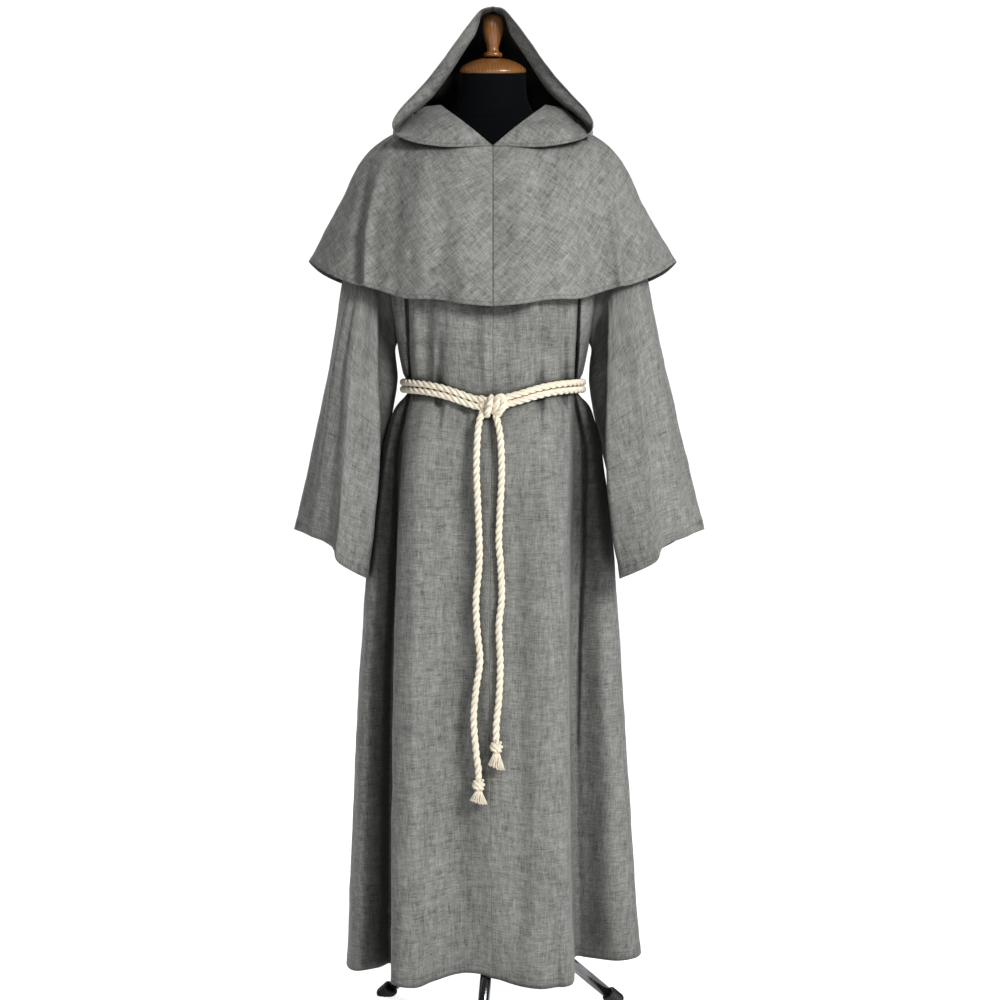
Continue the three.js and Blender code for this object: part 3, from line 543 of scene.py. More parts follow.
jersey_finish = black_jersey()
bm = bmesh.new()
levels = even(930, 1590, 60) + even(1592, 1690, 52)
map_grid(bm, torso_ring, even(-180, 180, 96), levels, ring=True)
finish_piece(bm, "torso", "cover", jersey_finish, normals=True)


# ------------ neck cap and finial
# A turned and varnished wooden cap closes the neck, with a handle screwed into its middle to
# lift the form by.
NECK_TOP = TORSO[-1][0]
FINIAL_BASE = NECK_TOP + 27.5
FINIAL_TOP = 1794.3


def turned_wood():
    finish = Finish("turned wood")
    where = finish.node("ShaderNodeTexCoord", out="Object")
    grain = finish.node("ShaderNodeTexNoise", {
        "Vector": finish.node("ShaderNodeMapping", {"Vector": where, "Scale": (150.0, 24.0, 24.0)}),
        "Scale": 1.0, "Detail": 4.0, "Roughness": 0.6, "Distortion": 0.6})
    rings = finish.node("ShaderNodeTexWave", {
        "Vector": finish.node("ShaderNodeMapping", {"Vector": where, "Rotation": (0.3, 0.1, 0.0)}),
        "Scale": 55.0, "Distortion": 4.0, "Detail": 2.0, "Detail Scale": 1.5}, bands_direction="X")
    tone = finish.summed((0.65, grain), (0.35, rings))
    colour = finish.shade(finish.band(tone, 0.2, 0.8), (0.165, 0.062, 0.016, 1),
                          (0.245, 0.106, 0.030, 1))
    finish.bump(tone, 0.08, 0.0004)
    return finish.wear(Base_Color=colour, Roughness=finish.band(grain, 0.3, 0.7, 0.28, 0.42),
                       Coat_Weight=0.35, Coat_Roughness=0.18)


wood_finish = turned_wood()
bm = turned(((0, 0), (56, 0), (57.8, 0.7), (58.5, 2.4), (58.4, 4.6), (57.5, 7), (53.4, 11.2),
             (48, 15), (42, 18), (36, 20.5), (31, 22.2), (26, 23.5), (18, 25), (0, 25)), 72)
cap_depth = (TORSO[-1][2] + TORSO[-1][3] + 4) / 117
cap_back = (TORSO[-1][3] - TORSO[-1][2]) / 2
lean = Quaternion((1, 0, 0), NECK_TILT)
for v in bm.verts:
    own = taken_back(v.co)
    v.co = put(lean @ Vector((own.x, own.y * cap_depth + cap_back, own.z))
               + Vector((0, 0, NECK_TOP + 0.5)))
finish_piece(bm, "neck_cap", "dome", wood_finish, close=False, normals=True)

FINIAL_FOOT = (  # radius and height above the base
    (0, 0), (14.6, 0), (16, 1), (16.7, 3), (16.6, 5.4), (15.2, 7.6), (12, 8.8), (10.7, 10.4),
    (10.3, 14), (10.8, 19), (12.4, 25), (14.5, 31), (16.5, 38), (18, 46),
)
FINIAL_HEAD = (  # radius and depth below the top
    (18.7, 24), (18.4, 17), (17.4, 11), (15.4, 6.4), (12, 3), (8.6, 1), (5, 0), (0, 0),
)
bm = turned([(r, FINIAL_BASE + up) for r, up in FINIAL_FOOT]
            + [(r, FINIAL_TOP - down) for r, down in FINIAL_HEAD], 48)
finish_piece(bm, "finial", "handle", wood_finish, close=False, normals=True)


# ------------ tunic
# Heathered grey linen, washed soft: two front halves seamed down the middle and a back, sewn
# at the sides and shoulders, gathered by the belt and falling in deep folds to a turned hem.
CLOTH = 1.6
HEM = 100.0
UNDERARM = 1215.0
CHEST_OVAL = (170.0, 124.0, 110.0)
SHOULDER_NECK = (94.0, 1622.0)
SHOULDER_END, SHOULDER_SLOPE = 205.0, 0.601
SHOULDER_LOW = SHOULDER_NECK[1] - SHOULDER_SLOPE * (SHOULDER_END - SHOULDER_NECK[0])
COLLAR = {-1: (98.0, 1530.0), 1: (72.0, 1598.0)}
ARMHOLE_DEPTH = 58.0
SKIRT_LEAN = 5.0
SKIRT_TOP = 1122.0
SKIRT_FOLDS = (  # bearing, x, y, z of each fold's end on the hem
    (-180, -18, 158, 102), (-168, -60, 178, 100), (-155, -104, 160, 102), (-142, -146, 170, 100),
    (-130, -184, 134, 102), (-118, -222, 142, 100), (-104, -257, 92, 97), (-90, -266, 12, 95),
    (-83, -246, -46, 96), (-77, -206, -30, 98), (-73, -185, -6, 99), (-70, -181, -72, 99),
    (-67, -177, -139, 98), (-55, -137, -160, 96), (-38, -104, -143, 103), (-20, -56, -130, 114),
    (-8, -20, -138, 114.5), (0, 0, -145, 109), (8, 14, -149, 107), (20, 47, -160, 99),
    (33, 82, -167, 96), (47, 112, -158, 97), (58, 127, -155, 97), (64, 141, -130, 98),
    (67.5, 145, -48, 99), (71, 149, 32, 101), (76, 172, 40, 98), (83, 224, 20, 97),
    (90, 262, 44, 97), (99, 270, 96, 98), (108, 238, 134, 100), (118, 196, 122, 102),
    (130, 158, 160, 100), (142, 112, 172, 100), (155, 64, 152, 102), (168, 22, 173, 100),
    (180, -18, 158, 102),
)
SKIRT_SPREAD = (
    (100, 1), (200, 0.94), (400, 0.84), (600, 0.74), (800, 0.62), (900, 0.53), (1000, 0.41),
    (1045, 0.34), (1085, 0.24), (1100, 0.19), (1112, 0.11), (1121, 0.03), (1127, 0), (1160, 0),
)
BODICE_FILL = ((1120, 0), (1146, 0.02), (1160, 0.24), (1185, 0.62), (1215, 1))


fold_x, fold_y, fold_z = columns_of(SKIRT_FOLDS)
(skirt_spread,) = columns_of(SKIRT_SPREAD)
(bodice_fill,) = columns_of(BODICE_FILL)


def ease(a, b, x):
    t = clamp01((x - a) / (b - a))
    return t * t * (3 - 2 * t)


def mix(a, b, t):
    return a + (b - a) * t


def tunic_below(bearing, level):
    waist_x, waist_y = oval(WAIST_OVAL, bearing)
    chest_x, chest_y = oval(CHEST_OVAL, bearing)
    drop = belt_drop(waist_x, waist_y) * bell(level - WAIST, 110)
    spread, fill = skirt_spread(level), bodice_fill(level)
    hip = 5 * max(0, math.cos(math.radians(bearing)))
    hip *= math.sin(math.pi * clamp01((SKIRT_TOP - level) / 620))
    x = waist_x + spread * (fold_x(bearing) - waist_x) + fill * (chest_x - waist_x)
    y = waist_y + spread * (fold_y(bearing) - waist_y) + fill * (chest_y - waist_y) - hip
    z = level - drop * (level < UNDERARM)
    return x, y, z + (fold_z(bearing) - HEM) * clamp01((UNDERARM - level) / (UNDERARM - HEM)) ** 2


def tunic_above(bearing, rise):
    facing = 1 if abs(bearing) > 90 else -1
    s = math.sin(math.radians(bearing))
    chest_y = oval(CHEST_OVAL, bearing)[1]
    x = mix(CHEST_OVAL[0], SHOULDER_END, rise) * s
    top_x = SHOULDER_END * abs(s)
    q = clamp01(top_x / SHOULDER_NECK[0])
    collar_y, collar_z = COLLAR[facing]
    if q < 1:
        top_z = mix(collar_z, SHOULDER_NECK[1], q ** 2.2)
    else:
        top_z = SHOULDER_NECK[1] - SHOULDER_SLOPE * (top_x - SHOULDER_NECK[0])
    top_y = facing * collar_y * math.sqrt(max(0, 1 - q * q))
    belly = mix(8, ARMHOLE_DEPTH, ease(0.15, 0.5, abs(s))) * math.sin(math.pi * rise) ** 0.7
    return x, mix(chest_y, top_y, rise) + facing * belly, mix(UNDERARM, top_z, rise)


def armhole_x(z):
    return mix(CHEST_OVAL[0], SHOULDER_END, clamp01((z - UNDERARM) / (SHOULDER_LOW - UNDERARM)))


def crease_lines(creases):
    lines = []
    for width, *points in creases:
        x, z, height = zip(*sorted(points, key=lambda p: p[1]))
        lines.append((width, z[0], z[-1], track(z, x), track(z, height)))
    return lines


def crease_height(lines, x, z, fade=26.0):
    height = 0.0
    for width, low, high, middle, lift in lines:
        if low - fade < z < high + fade:
            off = (x - middle(z)) / width
            if abs(off) < 3:
                ends = ease(low - fade, low, z) * (1 - ease(high, high + fade, z))
                height += lift(z) * ends * math.exp(-off * off)
    return height


# Tucks at the sides of the front, pressed straight back: width, then x, z and depth.
TUCK_LINES = crease_lines((
    (2.8, (-150, 1330, 8), (-148, 1260, 18), (-147, 1200, 26), (-145, 1160, 20)),
    (7, (-94, 1230, 1), (-94, 1180, 5), (-94, 1150, 8)),
    (12, (-114, 1310, 3), (-116, 1230, 6), (-118, 1156, 6)),
    (7, (81, 1235, 1), (81, 1180, 5), (82, 1150, 7)), (6, (121, 1270, 2), (123, 1190, 6), (126, 1150, 8)),
    (6, (-94, 1118, 8), (-94, 1095, 5), (-95, 1050, 1)),
    (6, (-46, 1106, 6), (-46, 1085, 4), (-47, 1045, 1)), (6, (82, 1118, 8), (82, 1095, 5), (84, 1045, 1)),
    (6, (126, 1124, 8), (127, 1100, 5), (130, 1050, 1)),
    (2.8, (150, 1330, 8), (148, 1260, 18), (147, 1200, 26), (145, 1160, 20)),
    (2.8, (-147, 1120, 14), (-153, 1092, 18), (-164, 1045, 18), (-168, 1000, 16), (-168, 850, 14),
     (-169, 700, 10), (-172, 500, 4)),
    (2.8, (144, 1120, 14), (150, 1092, 18), (161, 1045, 18), (165, 1000, 16), (164, 850, 14),
     (160, 700, 10), (156, 500, 4)),
))


def tunic_face(facing, side=0):
    def surface(bearing, up):
        b = bearing - 360 if bearing > 180 else bearing
        if up <= UNDERARM:
            x, y, z = tunic_below(b, up)
        else:
            x, y, z = tunic_above(b, (up - UNDERARM) / 1000)
        if z > UNDERARM + 1:
            y = facing * max(facing * y, 0.15)
            x = math.copysign(min(abs(x), armhole_x(z)), x)
        if side:
            x = side * max(side * x, 0.0)
        if facing < 0:
            y += crease_height(TUCK_LINES, x, z)
        return x - SKIRT_LEAN * math.sin(math.pi * clamp01((SKIRT_TOP - z) / (SKIRT_TOP - HEM))), y, z

    return surface


# Creases of the tunic, each a soft ridge (+) or trough (-): its width, then points of
# x, z and height.  Front and back have their own.
FRONT_LINES = crease_lines((
    (7, (-166, 1330, 2), (-162, 1240, 3), (-156, 1165, 3)),
    (9, (-133, 1330, 2), (-132, 1240, 4), (-131, 1160, 4)),
    (9, (-112, 1300, -2), (-112, 1220, -4), (-112, 1156, -5)),
    (7, (-94, 1230, -1), (-94, 1165, -3), (-94, 1150, -4)),
    (12, (-76, 1260, 2), (-74, 1200, 4), (-72, 1150, 4)),
    (14, (-44, 1260, -2), (-42, 1200, -3), (-40, 1150, -2)),
    (9, (-14, 1270, 3), (-13, 1200, 6), (-11, 1140, 4)),
    (8, (16, 1270, -2), (20, 1200, -5), (24, 1140, -4)), (9, (44, 1280, 3), (50, 1210, 5), (54, 1150, 4)),
    (7, (80, 1230, -1), (81, 1165, -3), (82, 1150, -4)),
    (9, (102, 1300, 3), (104, 1230, 5), (106, 1160, 4)),
    (7, (124, 1250, -1), (125, 1180, -3), (126, 1150, -3)),
    (7, (136, 1330, 2), (136, 1240, 4), (135, 1160, 4)),
    (7, (168, 1330, 2), (163, 1240, 3), (156, 1165, 3)),
    (7, (-94, 1118, -3), (-94, 1095, -2), (-95, 1040, 0)),
    (7, (82, 1118, -3), (82, 1095, -2), (84, 1030, 0)),
    (7, (126, 1124, -3), (127, 1100, -2), (130, 1050, 0)),
    (7, (-50, 1108, -2), (-50, 1085, -2), (-49, 1040, 0)),
    (16, (-122, 1080, 2), (-130, 960, 5), (-136, 700, 7), (-140, 400, 5), (-142, 150, 4)),
    (20, (-62, 1090, -2), (-60, 980, -6), (-66, 760, -9), (-64, 500, -8), (-60, 240, -5)),
    (18, (-14, 1080, 2), (-12, 900, 3), (-10, 700, 4), (-6, 420, 3), (0, 180, 2)),
    (20, (38, 1080, -1), (40, 900, -6), (44, 650, -9), (46, 350, -7), (48, 160, -3)),
    (18, (92, 1090, 3), (96, 950, 9), (100, 760, 11), (102, 450, 9), (104, 200, 5)),
    (14, (130, 1080, -1), (138, 900, -3), (140, 700, -4), (142, 400, -3), (140, 180, -2)),
))
BACK_SKIRT = (  # width, ridge or trough, x from the belt to the hem
    (15, 1, -128, -150, -176, -200), (14, -1, -88, -104, -122, -140), (16, 1, -54, -62, -72, -84),
    (14, -1, -10, -12, -14, -16), (16, 1, 32, 40, 50, 58), (14, -1, 72, 88, 104, 120),
    (15, 1, 112, 134, 160, 184),
)
BACK_LINES = crease_lines((
    (9, (-120, 1300, 3), (-112, 1220, 5), (-104, 1150, 5)),
    (9, (-92, 1300, -3), (-86, 1220, -5), (-80, 1120, -5), (-84, 1060, 0)),
    (10, (-40, 1300, 3), (-36, 1220, 5), (-34, 1150, 4)),
    (8, (-8, 1290, -2), (-8, 1220, -4), (-8, 1120, -4), (-10, 1060, 0)),
    (10, (30, 1300, 3), (32, 1220, 5), (34, 1150, 4)),
    (9, (78, 1300, -3), (74, 1220, -5), (70, 1120, -5), (76, 1060, 0)),
    (10, (124, 1300, 3), (114, 1220, 5), (106, 1150, 5)),
    *[(width, (a, 1090, 3.5 * way - 0.5), (b, 900, 8.5 * way - 0.5), (c, 600, 10.5 * way - 0.5),
       (d, 150, 8 * way)) for width, way, a, b, c, d in BACK_SKIRT],
))


def crumple(x, y, z, size, seed=0.0):
    """Gentle unevenness of washed linen, the same for every piece it crosses."""
    spot = Vector((x / size + seed, y / size, z / (size * 1.7)))
    return noise.noise(spot) + 0.5 * noise.noise(spot * 2.3)


def tunic_relief(facing):
    lines = FRONT_LINES if facing < 0 else BACK_LINES

    def relief(bearing, up, place):
        x, y, z = place
        calm = 1 - 0.8 * bell(z - WAIST + belt_drop(x, y), 13)
        height = crease_height(lines, x, z) if facing * y > -20 else 0.0
        height += 1.5 * crumple(x, y, z, 52) * calm + 0.5 * crumple(x, y, z, 17, 4.0)
        if up < HEM + 17:
            height += 0.5
        return height * calm

    return relief


def heather_linen(name, hem):
    """hem: depth of the turned hem in metres; the Edge map holds the distances to the edges."""
    finish = Finish(name)
    uv = finish.node("ShaderNodeUVMap", uv_map="UVMap")
    edges = finish.node("ShaderNodeUVMap", uv_map="Edge")
    to_side, to_hem = (finish.node("ShaderNodeSeparateXYZ", {"Vector": edges}, out) for out in (0, 1))
    slubs = finish.summed(
        (1.00, finish.stretched(uv, (420, 46), 2, 0.6)),
        (1.00, finish.stretched(uv, (60, 420), 2, 0.6, move=(5, 3, 0))),
        (0.70, finish.stretched(uv, (330, 330), 2, 0.6, move=(8, 1, 0))))
    tone = finish.summed(
        (1.0, slubs),
        (0.80, finish.stretched(uv, (130, 22), 3, 0.65, move=(1, 7, 0))),
        (0.80, finish.stretched(uv, (26, 120), 3, 0.65, move=(9, 2, 0))),
        (0.55, finish.stretched(uv, (40, 7), 3, 0.6, move=(4, 6, 0))),
        (0.40, finish.stretched(uv, (9, 8), 2, 0.5, move=(2, 4, 0))))
    colour = finish.shade(finish.maths("SUBTRACT", tone, 2.14, clamp=True),
                          (0.086, 0.087, 0.080, 1), (0.320, 0.323, 0.303, 1))
    # stitching: a fine darker line at the hem's depth; with it painted shade: a dark line along the hem's
    # folded edge, a fainter one at the step where the turned hem ends, and the seam's own shadow
    stitch = finish.maths("ABSOLUTE", finish.maths("SUBTRACT", to_hem, hem))
    stitch_and_edge_shade = finish.band(stitch, 0.0003, 0.0012, 0.5, 0.0)
    stitch_and_edge_shade = finish.maths("MAXIMUM", stitch_and_edge_shade, finish.band(to_hem, 0.0, 0.0014, 0.35, 0.0))
    stitch_and_edge_shade = finish.maths("MAXIMUM", stitch_and_edge_shade, finish.band(to_side, 0.0003, 0.0016, 0.28, 0.0))
    hem_step_shade = finish.band(to_hem, hem - 0.0005, hem + 0.0005, 0.12, 0.0)
    colour = finish.shade(finish.maths("MAXIMUM", stitch_and_edge_shade, hem_step_shade), colour, (0.085, 0.086, 0.080, 1))
    # painted shade: the AO node darkens the linen's colour to near black in deep, covered places such as
    # folds, grooves, the sleeves' inner sides and the hood's inside
    painted_occlusion_shade = finish.node("ShaderNodeAmbientOcclusion", {"Distance": 0.24}, "AO", samples=3)
    colour = finish.shade(finish.band(painted_occlusion_shade, 0.16, 0.80), (0.012, 0.012, 0.011, 1), colour)
    weave = [finish.node("ShaderNodeTexWave", {
        "Vector": uv, "Scale": 190.0, "Distortion": 1.5, "Detail": 1.0}, bands_direction=way)
        for way in "XY"]
    height = finish.summed((0.3, weave[0]), (0.3, weave[1]), (1.0, slubs), (-1.4, stitch_and_edge_shade))
    finish.bump(height, 0.55, 0.0006)
    return finish.wear(Base_Color=colour, Roughness=0.9, Sheen_Weight=0.18, Sheen_Roughness=0.45,
                       Specular_IOR_Level=0.25)


linen = heather_linen("grey linen", 0.0150)
linen_fine = heather_linen("grey linen, narrow hem", 0.0070)


def sew(node, form, surface, across, along, relief, flat, rests_on, held="hung", area=None,
        hem_row=0, side_seams=True, material=linen, **grid):
    """One panel of cloth: a grid on its surface, pushed along its own normals by the relief,
    with a wall under it.  The Edge map holds the distance to the sewn sides and to the hem."""
    bm = bmesh.new()
    spots = map_grid(bm, surface, across, along, **grid)
    bm.normal_update()
    lifts = {}
    for v, (i, j) in spots.items():
        lifts[v] = v.normal * (relief(across[i], along[j], taken_back(v.co)) / 1000)
    for v, lift in lifts.items():
        v.co += lift
    columns, rows = len(across) - 1, len(along) - 1
    at = {spot: v.co.copy() for v, spot in spots.items()}
    for j in range(rows + 1):
        at.setdefault((columns, j), at.get((0, j)))
        at.setdefault((0, j), at.get((columns, j)))
    to_hem, to_side = {}, {}
    for i in range(columns + 1):
        order = range(rows + 1) if hem_row == 0 else range(rows, -1, -1)
        for j, length in zip(order, running([at[i, j] for j in order])):
            to_hem[i, j] = length
    for j in range(rows + 1):
        run = running([at[i, j] for i in range(columns + 1)])
        for i, length in enumerate(run):
            to_side[i, j] = min(length, run[-1] - length) if side_seams else 1.0
    map_faces(bm, "Edge", spots, lambda i, j: (to_side[i, j], to_hem[i, j]))
    piece = finish_piece(bm, node, form, material, close=False)
    wall = piece.modifiers.new("wall", "SOLIDIFY")
    wall.thickness = CLOTH / 1000
    wall.offset = -1.0
    wall.use_even_offset = False


def spaced(points, gap):
    """Fills a list of levels so that no two are further apart than gap."""
    filled = [points[0]]
    for a, b in zip(points, points[1:]):
        count = max(1, math.ceil(abs(b - a) / gap))
        filled += even(a, b, count)[1:]
    return filled


TUNIC_LEVELS = spaced([100, 116, 1060, 1125, 1215], 8) + spaced([1223, 1500, 2215], 60)
for node, facing, side, first, last, count, flat, area in (
    ("tunic_front_left", -1, -1, -90, 0, 120, (0.62, 1.60), 0.52),
    ("tunic_front_right", -1, 1, 0, 90, 120, (0.62, 1.60), 0.52),
    ("tunic_back", 1, 0, 90, 270, 200, (0.80, 1.60), 0.92),
):
    sew(node, "panel", tunic_face(facing, side), even(first, last, count), TUNIC_LEVELS,
        tunic_relief(facing), flat, ("torso",), area=area, side_seams=False, origin=(1 - side) / 2)


# ------------ sleeves
# Wide straight sleeves of the same linen, set into low armholes, each sewn into a tube under
# the arm and falling empty, with a turned hem at the mouth.
SLEEVE_STOPS = (0, 0.18, 0.34, 0.5, 0.66, 0.82, 1)
SLEEVE_LINES = (  # turn of the armhole; then out, y, z at each stop
    (0, (240, 4, 1452), (264, 4, 1345), (284, 2, 1215), (306, 0, 1100), (330, -3, 990), (354, -6, 884)),
    (0.125, (228, -44, 1425), (246, -46, 1325), (272, -48, 1205), (288, -48, 1090), (305, -50, 975),
     (319, -44, 874)),
    (0.25, (215, -52, 1372), (236, -58, 1290), (252, -72, 1180), (261, -78, 1075), (270, -84, 960),
     (282, -78, 858)),
    (0.31, (210, -52, 1335), (222, -60, 1258), (234, -72, 1160), (246, -80, 1055), (258, -90, 940),
     (270, -92, 832)),
    (0.39, (200, -48, 1280), (203, -58, 1205), (201, -64, 1120), (200, -68, 1025), (208, -68, 915),
     (223, -58, 801)),
    (0.5, (174, 4, 1198), (171, 6, 1150), (182, 8, 1088), (206, 10, 1000), (223, 12, 900), (238, 14, 804)),
    (0.625, (198, 50, 1285), (188, 56, 1205), (187, 62, 1125), (200, 68, 1030), (225, 74, 920),
     (242, 76, 808)),
    (0.75, (222, 58, 1372), (245, 70, 1290), (258, 82, 1180), (270, 90, 1070), (283, 97, 950),
     (298, 101, 846)),
    (0.875, (234, 50, 1425), (257, 54, 1325), (277, 56, 1205), (297, 56, 1090), (317, 56, 975),
     (335, 52, 872)),
)
SLEEVE_FLARE = {-1: 0.0, 1: 22.0}


def armhole(turn):
    rise = (1 + math.cos(turn * 2 * math.pi)) / 2
    facing = -1 if math.sin(turn * 2 * math.pi) >= 0 else 1
    z = mix(UNDERARM, SHOULDER_LOW, rise)
    return armhole_x(z) + 0.3, facing * ARMHOLE_DEPTH * math.sin(math.pi * rise) ** 0.7, z


sleeve_tracks = []
for turn, *places in SLEEVE_LINES:
    sleeve_tracks.append(tracks(SLEEVE_STOPS, (armhole(turn), *places)))
sleeve_turn = track(list(range(len(SLEEVE_LINES) + 1)), [row[0] for row in SLEEVE_LINES] + [1])


def sleeve_face(side):
    flare = SLEEVE_FLARE[side]
    count = len(SLEEVE_LINES)

    def surface(around, along):
        place = around % count
        index = math.floor(place)
        t = place - index
        a, b, c, d = ([f(along) for f in sleeve_tracks[(index + k) % count]] for k in (-1, 0, 1, 2))
        lofted = [0.5 * (2 * q + (r - p) * t + (2 * p - 5 * q + 4 * r - s) * t * t
                         + (3 * q - p - 3 * r + s) * t ** 3) for p, q, r, s in zip(a, b, c, d)]
        near = (1 - ease(0, 0.2, along)) ** 4
        x, y, z = (mix(v, w, near) for v, w in zip(lofted, armhole(sleeve_turn(place))))
        x += flare * (0.45 + 0.55 * along) * ease(0, 0.2, along) * clamp01((x - 215) / 90)
        if z > UNDERARM - 20:
            x = max(x, armhole_x(z) + 0.15)
        return side * x, y, z

    return surface


# Creases of a sleeve run down it: width in lines of the loft, then line, along and height.
SLEEVE_FOLDS = crease_lines((
    (0.12, (3.95, 0.12, 1), (3.95, 0.3, 4), (3.95, 0.7, 4), (3.95, 1, 2)),
    (0.26, (4.45, 0.1, -4), (4.45, 0.22, -16), (4.45, 0.5, -20), (4.5, 0.62, -14), (4.6, 0.8, 0)),
    (0.22, (0.9, 0.15, 0), (0.95, 0.4, 3), (1, 0.75, 4), (1, 1, 3)),
    (0.25, (1.5, 0.1, 0), (1.5, 0.35, -3), (1.6, 0.7, -4), (1.6, 1, -3)),
    (0.25, (6.3, 0.1, 0), (6.4, 0.4, 4), (6.4, 0.75, 5), (6.4, 1, 3)),
    (0.3, (7.4, 0.1, 0), (7.4, 0.4, -4), (7.5, 0.8, -4), (7.5, 1, -3)),
    (0.3, (8.3, 0.15, 0), (8.4, 0.45, 3), (8.4, 0.8, 3), (8.4, 1, 2)),
))


def sleeve_relief(around, along, place):
    x, y, z = place
    start = ease(0.0, 0.08, along)
    folds = crease_height(SLEEVE_FOLDS, around % len(SLEEVE_LINES), along, fade=0.02)
    band = 0.5 if along > 0.965 else 0.0
    return start * (folds + 1.7 * crumple(x, y, z, 46, 9.0) + 0.6 * crumple(x, y, z, 15, 2.0)) + band


SLEEVE_ROUND = even(5, 5 + len(SLEEVE_LINES), 126)
SLEEVE_ALONG = spaced([0, 0.12, 0.96, 1.0], 0.0125)
for name, side in (("left", -1), ("right", 1)):
    sew(f"sleeve_{name}", "tube", sleeve_face(side), SLEEVE_ROUND, SLEEVE_ALONG, sleeve_relief,
        (0.76, 0.72), (f"tunic_front_{name}", "tunic_back"), area=0.30, hem_row=-1,
        side_seams=False, outside=side, ring=True)


# ------------ cape
# A round shoulder cape cut on the bias in two halves, seamed down the middle in front and
# behind and sewn to the hood at the neck; it lies on the shoulders and hangs free below them.
NECK_SEAM = (  # bearing from the front, out, y, z
    (0, 0, -104, 1553), (25, 38, -92, 1585), (50, 70, -64, 1611), (75, 90, -28, 1628),
    (100, 88, 12, 1631), (130, 66, 51, 1619), (155, 33, 73, 1606), (180, 0, 80, 1602),
)
CAPE_LINES = (  # bearing; out, y, z below the neck, half way, at the hem
    (0, 0, -124, 1500, 0, -146, 1390, 0, -158, 1277),
    (14, 38, -124, 1508, 46, -149, 1395, 50, -158, 1281),
    (26, 66, -116, 1524, 86, -142, 1404, 98, -146, 1289),
    (40, 104, -100, 1544, 134, -126, 1416, 150, -126, 1291),
    (54, 150, -72, 1560, 184, -94, 1436, 198, -98, 1306),
    (64, 186, -44, 1562, 214, -74, 1452, 224, -92, 1313),
    (70, 196, -32, 1560, 234, -60, 1452, 246, -78, 1318),
    (80, 205, -16, 1560, 256, -32, 1458, 290, -48, 1336),
    (90, 209, 0, 1559, 268, 2, 1460, 326, 4, 1359),
    (100, 205, 16, 1559, 258, 34, 1454, 306, 46, 1338),
    (112, 190, 36, 1556, 238, 64, 1444, 262, 80, 1319),
    (128, 150, 72, 1552, 188, 102, 1430, 204, 108, 1312),
    (146, 96, 96, 1540, 122, 128, 1416, 132, 142, 1300),
    (164, 44, 108, 1528, 56, 138, 1402, 62, 140, 1292),
    (180, 0, 112, 1522, 0, 142, 1396, 0, 150, 1290),
)
CAPE_LEAN = 3.0
neck_out, neck_y, neck_z = columns_of(NECK_SEAM)
cape_columns = columns_of(CAPE_LINES)


def cape_face(side):
    def surface(bearing, up):
        neck = (neck_out(bearing), neck_y(bearing), neck_z(bearing))
        top, mid, hem = ([f(bearing) for f in cape_columns[k:k + 3]] for k in (0, 3, 6))
        out, y, z = (line(up) for line in tracks((0, 0.42, 0.8, 1), (hem, mid, top, neck)))
        lean = CAPE_LEAN * clamp01(out / 100) * ease(0, 0.3, up) * (1 - ease(0.75, 1, up))
        return side * max(out - side * lean, 0.06), y, z

    return surface


# Creases of the cape: width in degrees, then bearing, up (0 hem, 1 neck) and height.
CAPE_FOLDS = crease_lines((
    (5, (12, 0, 3), (14, 0.4, 3), (22, 0.9, 1)), (4, (22, 0, -3), (25, 0.4, -3), (34, 0.85, -1)),
    (4, (33, 0, 3), (36, 0.45, 3), (44, 0.85, 1)), (3, (46, 0, -3), (48, 0.4, -3), (54, 0.8, 0)),
    (2.4, (63, 0, 9), (62, 0.3, 8), (60, 0.6, 6), (58, 0.86, 1)),
    (2.6, (68, 0, -9), (68, 0.3, -7), (67, 0.7, -2)), (4, (80, 0, 2), (80, 0.3, -1), (80, 0.7, -2)),
    (4, (104, 0, -4), (104, 0.4, -3), (104, 0.7, 0)),
    (5, (118, 0, 4), (118, 0.5, 4), (116, 0.8, 0)),
    (5, (136, 0, -4), (135, 0.5, -3), (132, 0.8, 0)),
    (5, (152, 0, 4), (150, 0.5, 4), (148, 0.85, 0)),
    (4, (166, 0, -3), (165, 0.5, -3), (163, 0.85, 0)),
))


def cape_relief(bearing, up, place):
    x, y, z = place
    folds = crease_height(CAPE_FOLDS, bearing, up, fade=0.02)
    band = 0.5 if up < 0.045 else 0.0
    unrest = 1.3 * crumple(x, y, z, 50, 6.0) + 0.5 * crumple(x, y, z, 16, 1.0)
    return folds + unrest * ease(1, 0.9, up) + band


CAPE_UP = spaced([0, 0.045, 1.0], 0.016)
for name, side in (("left", -1), ("right", 1)):
    sew(f"cape_{name}", "half", cape_face(side), even(0, 180, 180), CAPE_UP, cape_relief,
        (0.80, 0.40), (f"tunic_front_{name}", "tunic_back"), held="draped", area=0.22,
        material=linen_fine, outside=side, turned=side * math.radians(45), origin=0.0)


# ------------ hood
# A deep pointed hood in two halves, seamed over the crown and down the back.  Its rim is a
# narrow turned hem; in front its flaps fold out over the shoulders and meet at the neck.
HOOD_ROWS = (  # back; out, y, z of flap, corner, cheek, side, brow; crown y, z
    (0, 91, -112, 1552, 160, -92, 1570, 172, -66, 1604, 109, -44, 1679, 27, -57, 1785, -60, 1797),
    (0.14, 102, -84, 1592, 150, -62, 1584, 150, -38, 1614, 98.6, -20, 1689, 31, -30, 1785, -28, 1800),
    (0.4, 120, -8, 1627, 140, 8, 1618, 134, 26, 1645, 94.5, 36, 1705, 41, 36, 1768, 34, 1793),
    (0.7, 88, 72, 1626, 110, 92, 1620, 110, 106, 1642, 84, 113, 1690, 42, 112, 1724, 108, 1744),
    (1, 0, 98, 1600, 0, 120, 1598, 0, 138, 1612, 0, 148, 1636, 0, 152, 1660, 150, 1684),
)
HOOD_STATIONS = (0, 0.2, 0.34, 0.46, 0.66, 0.88, 1)
HOOD_LIFT = 1.0
hood_columns = columns_of(HOOD_ROWS)


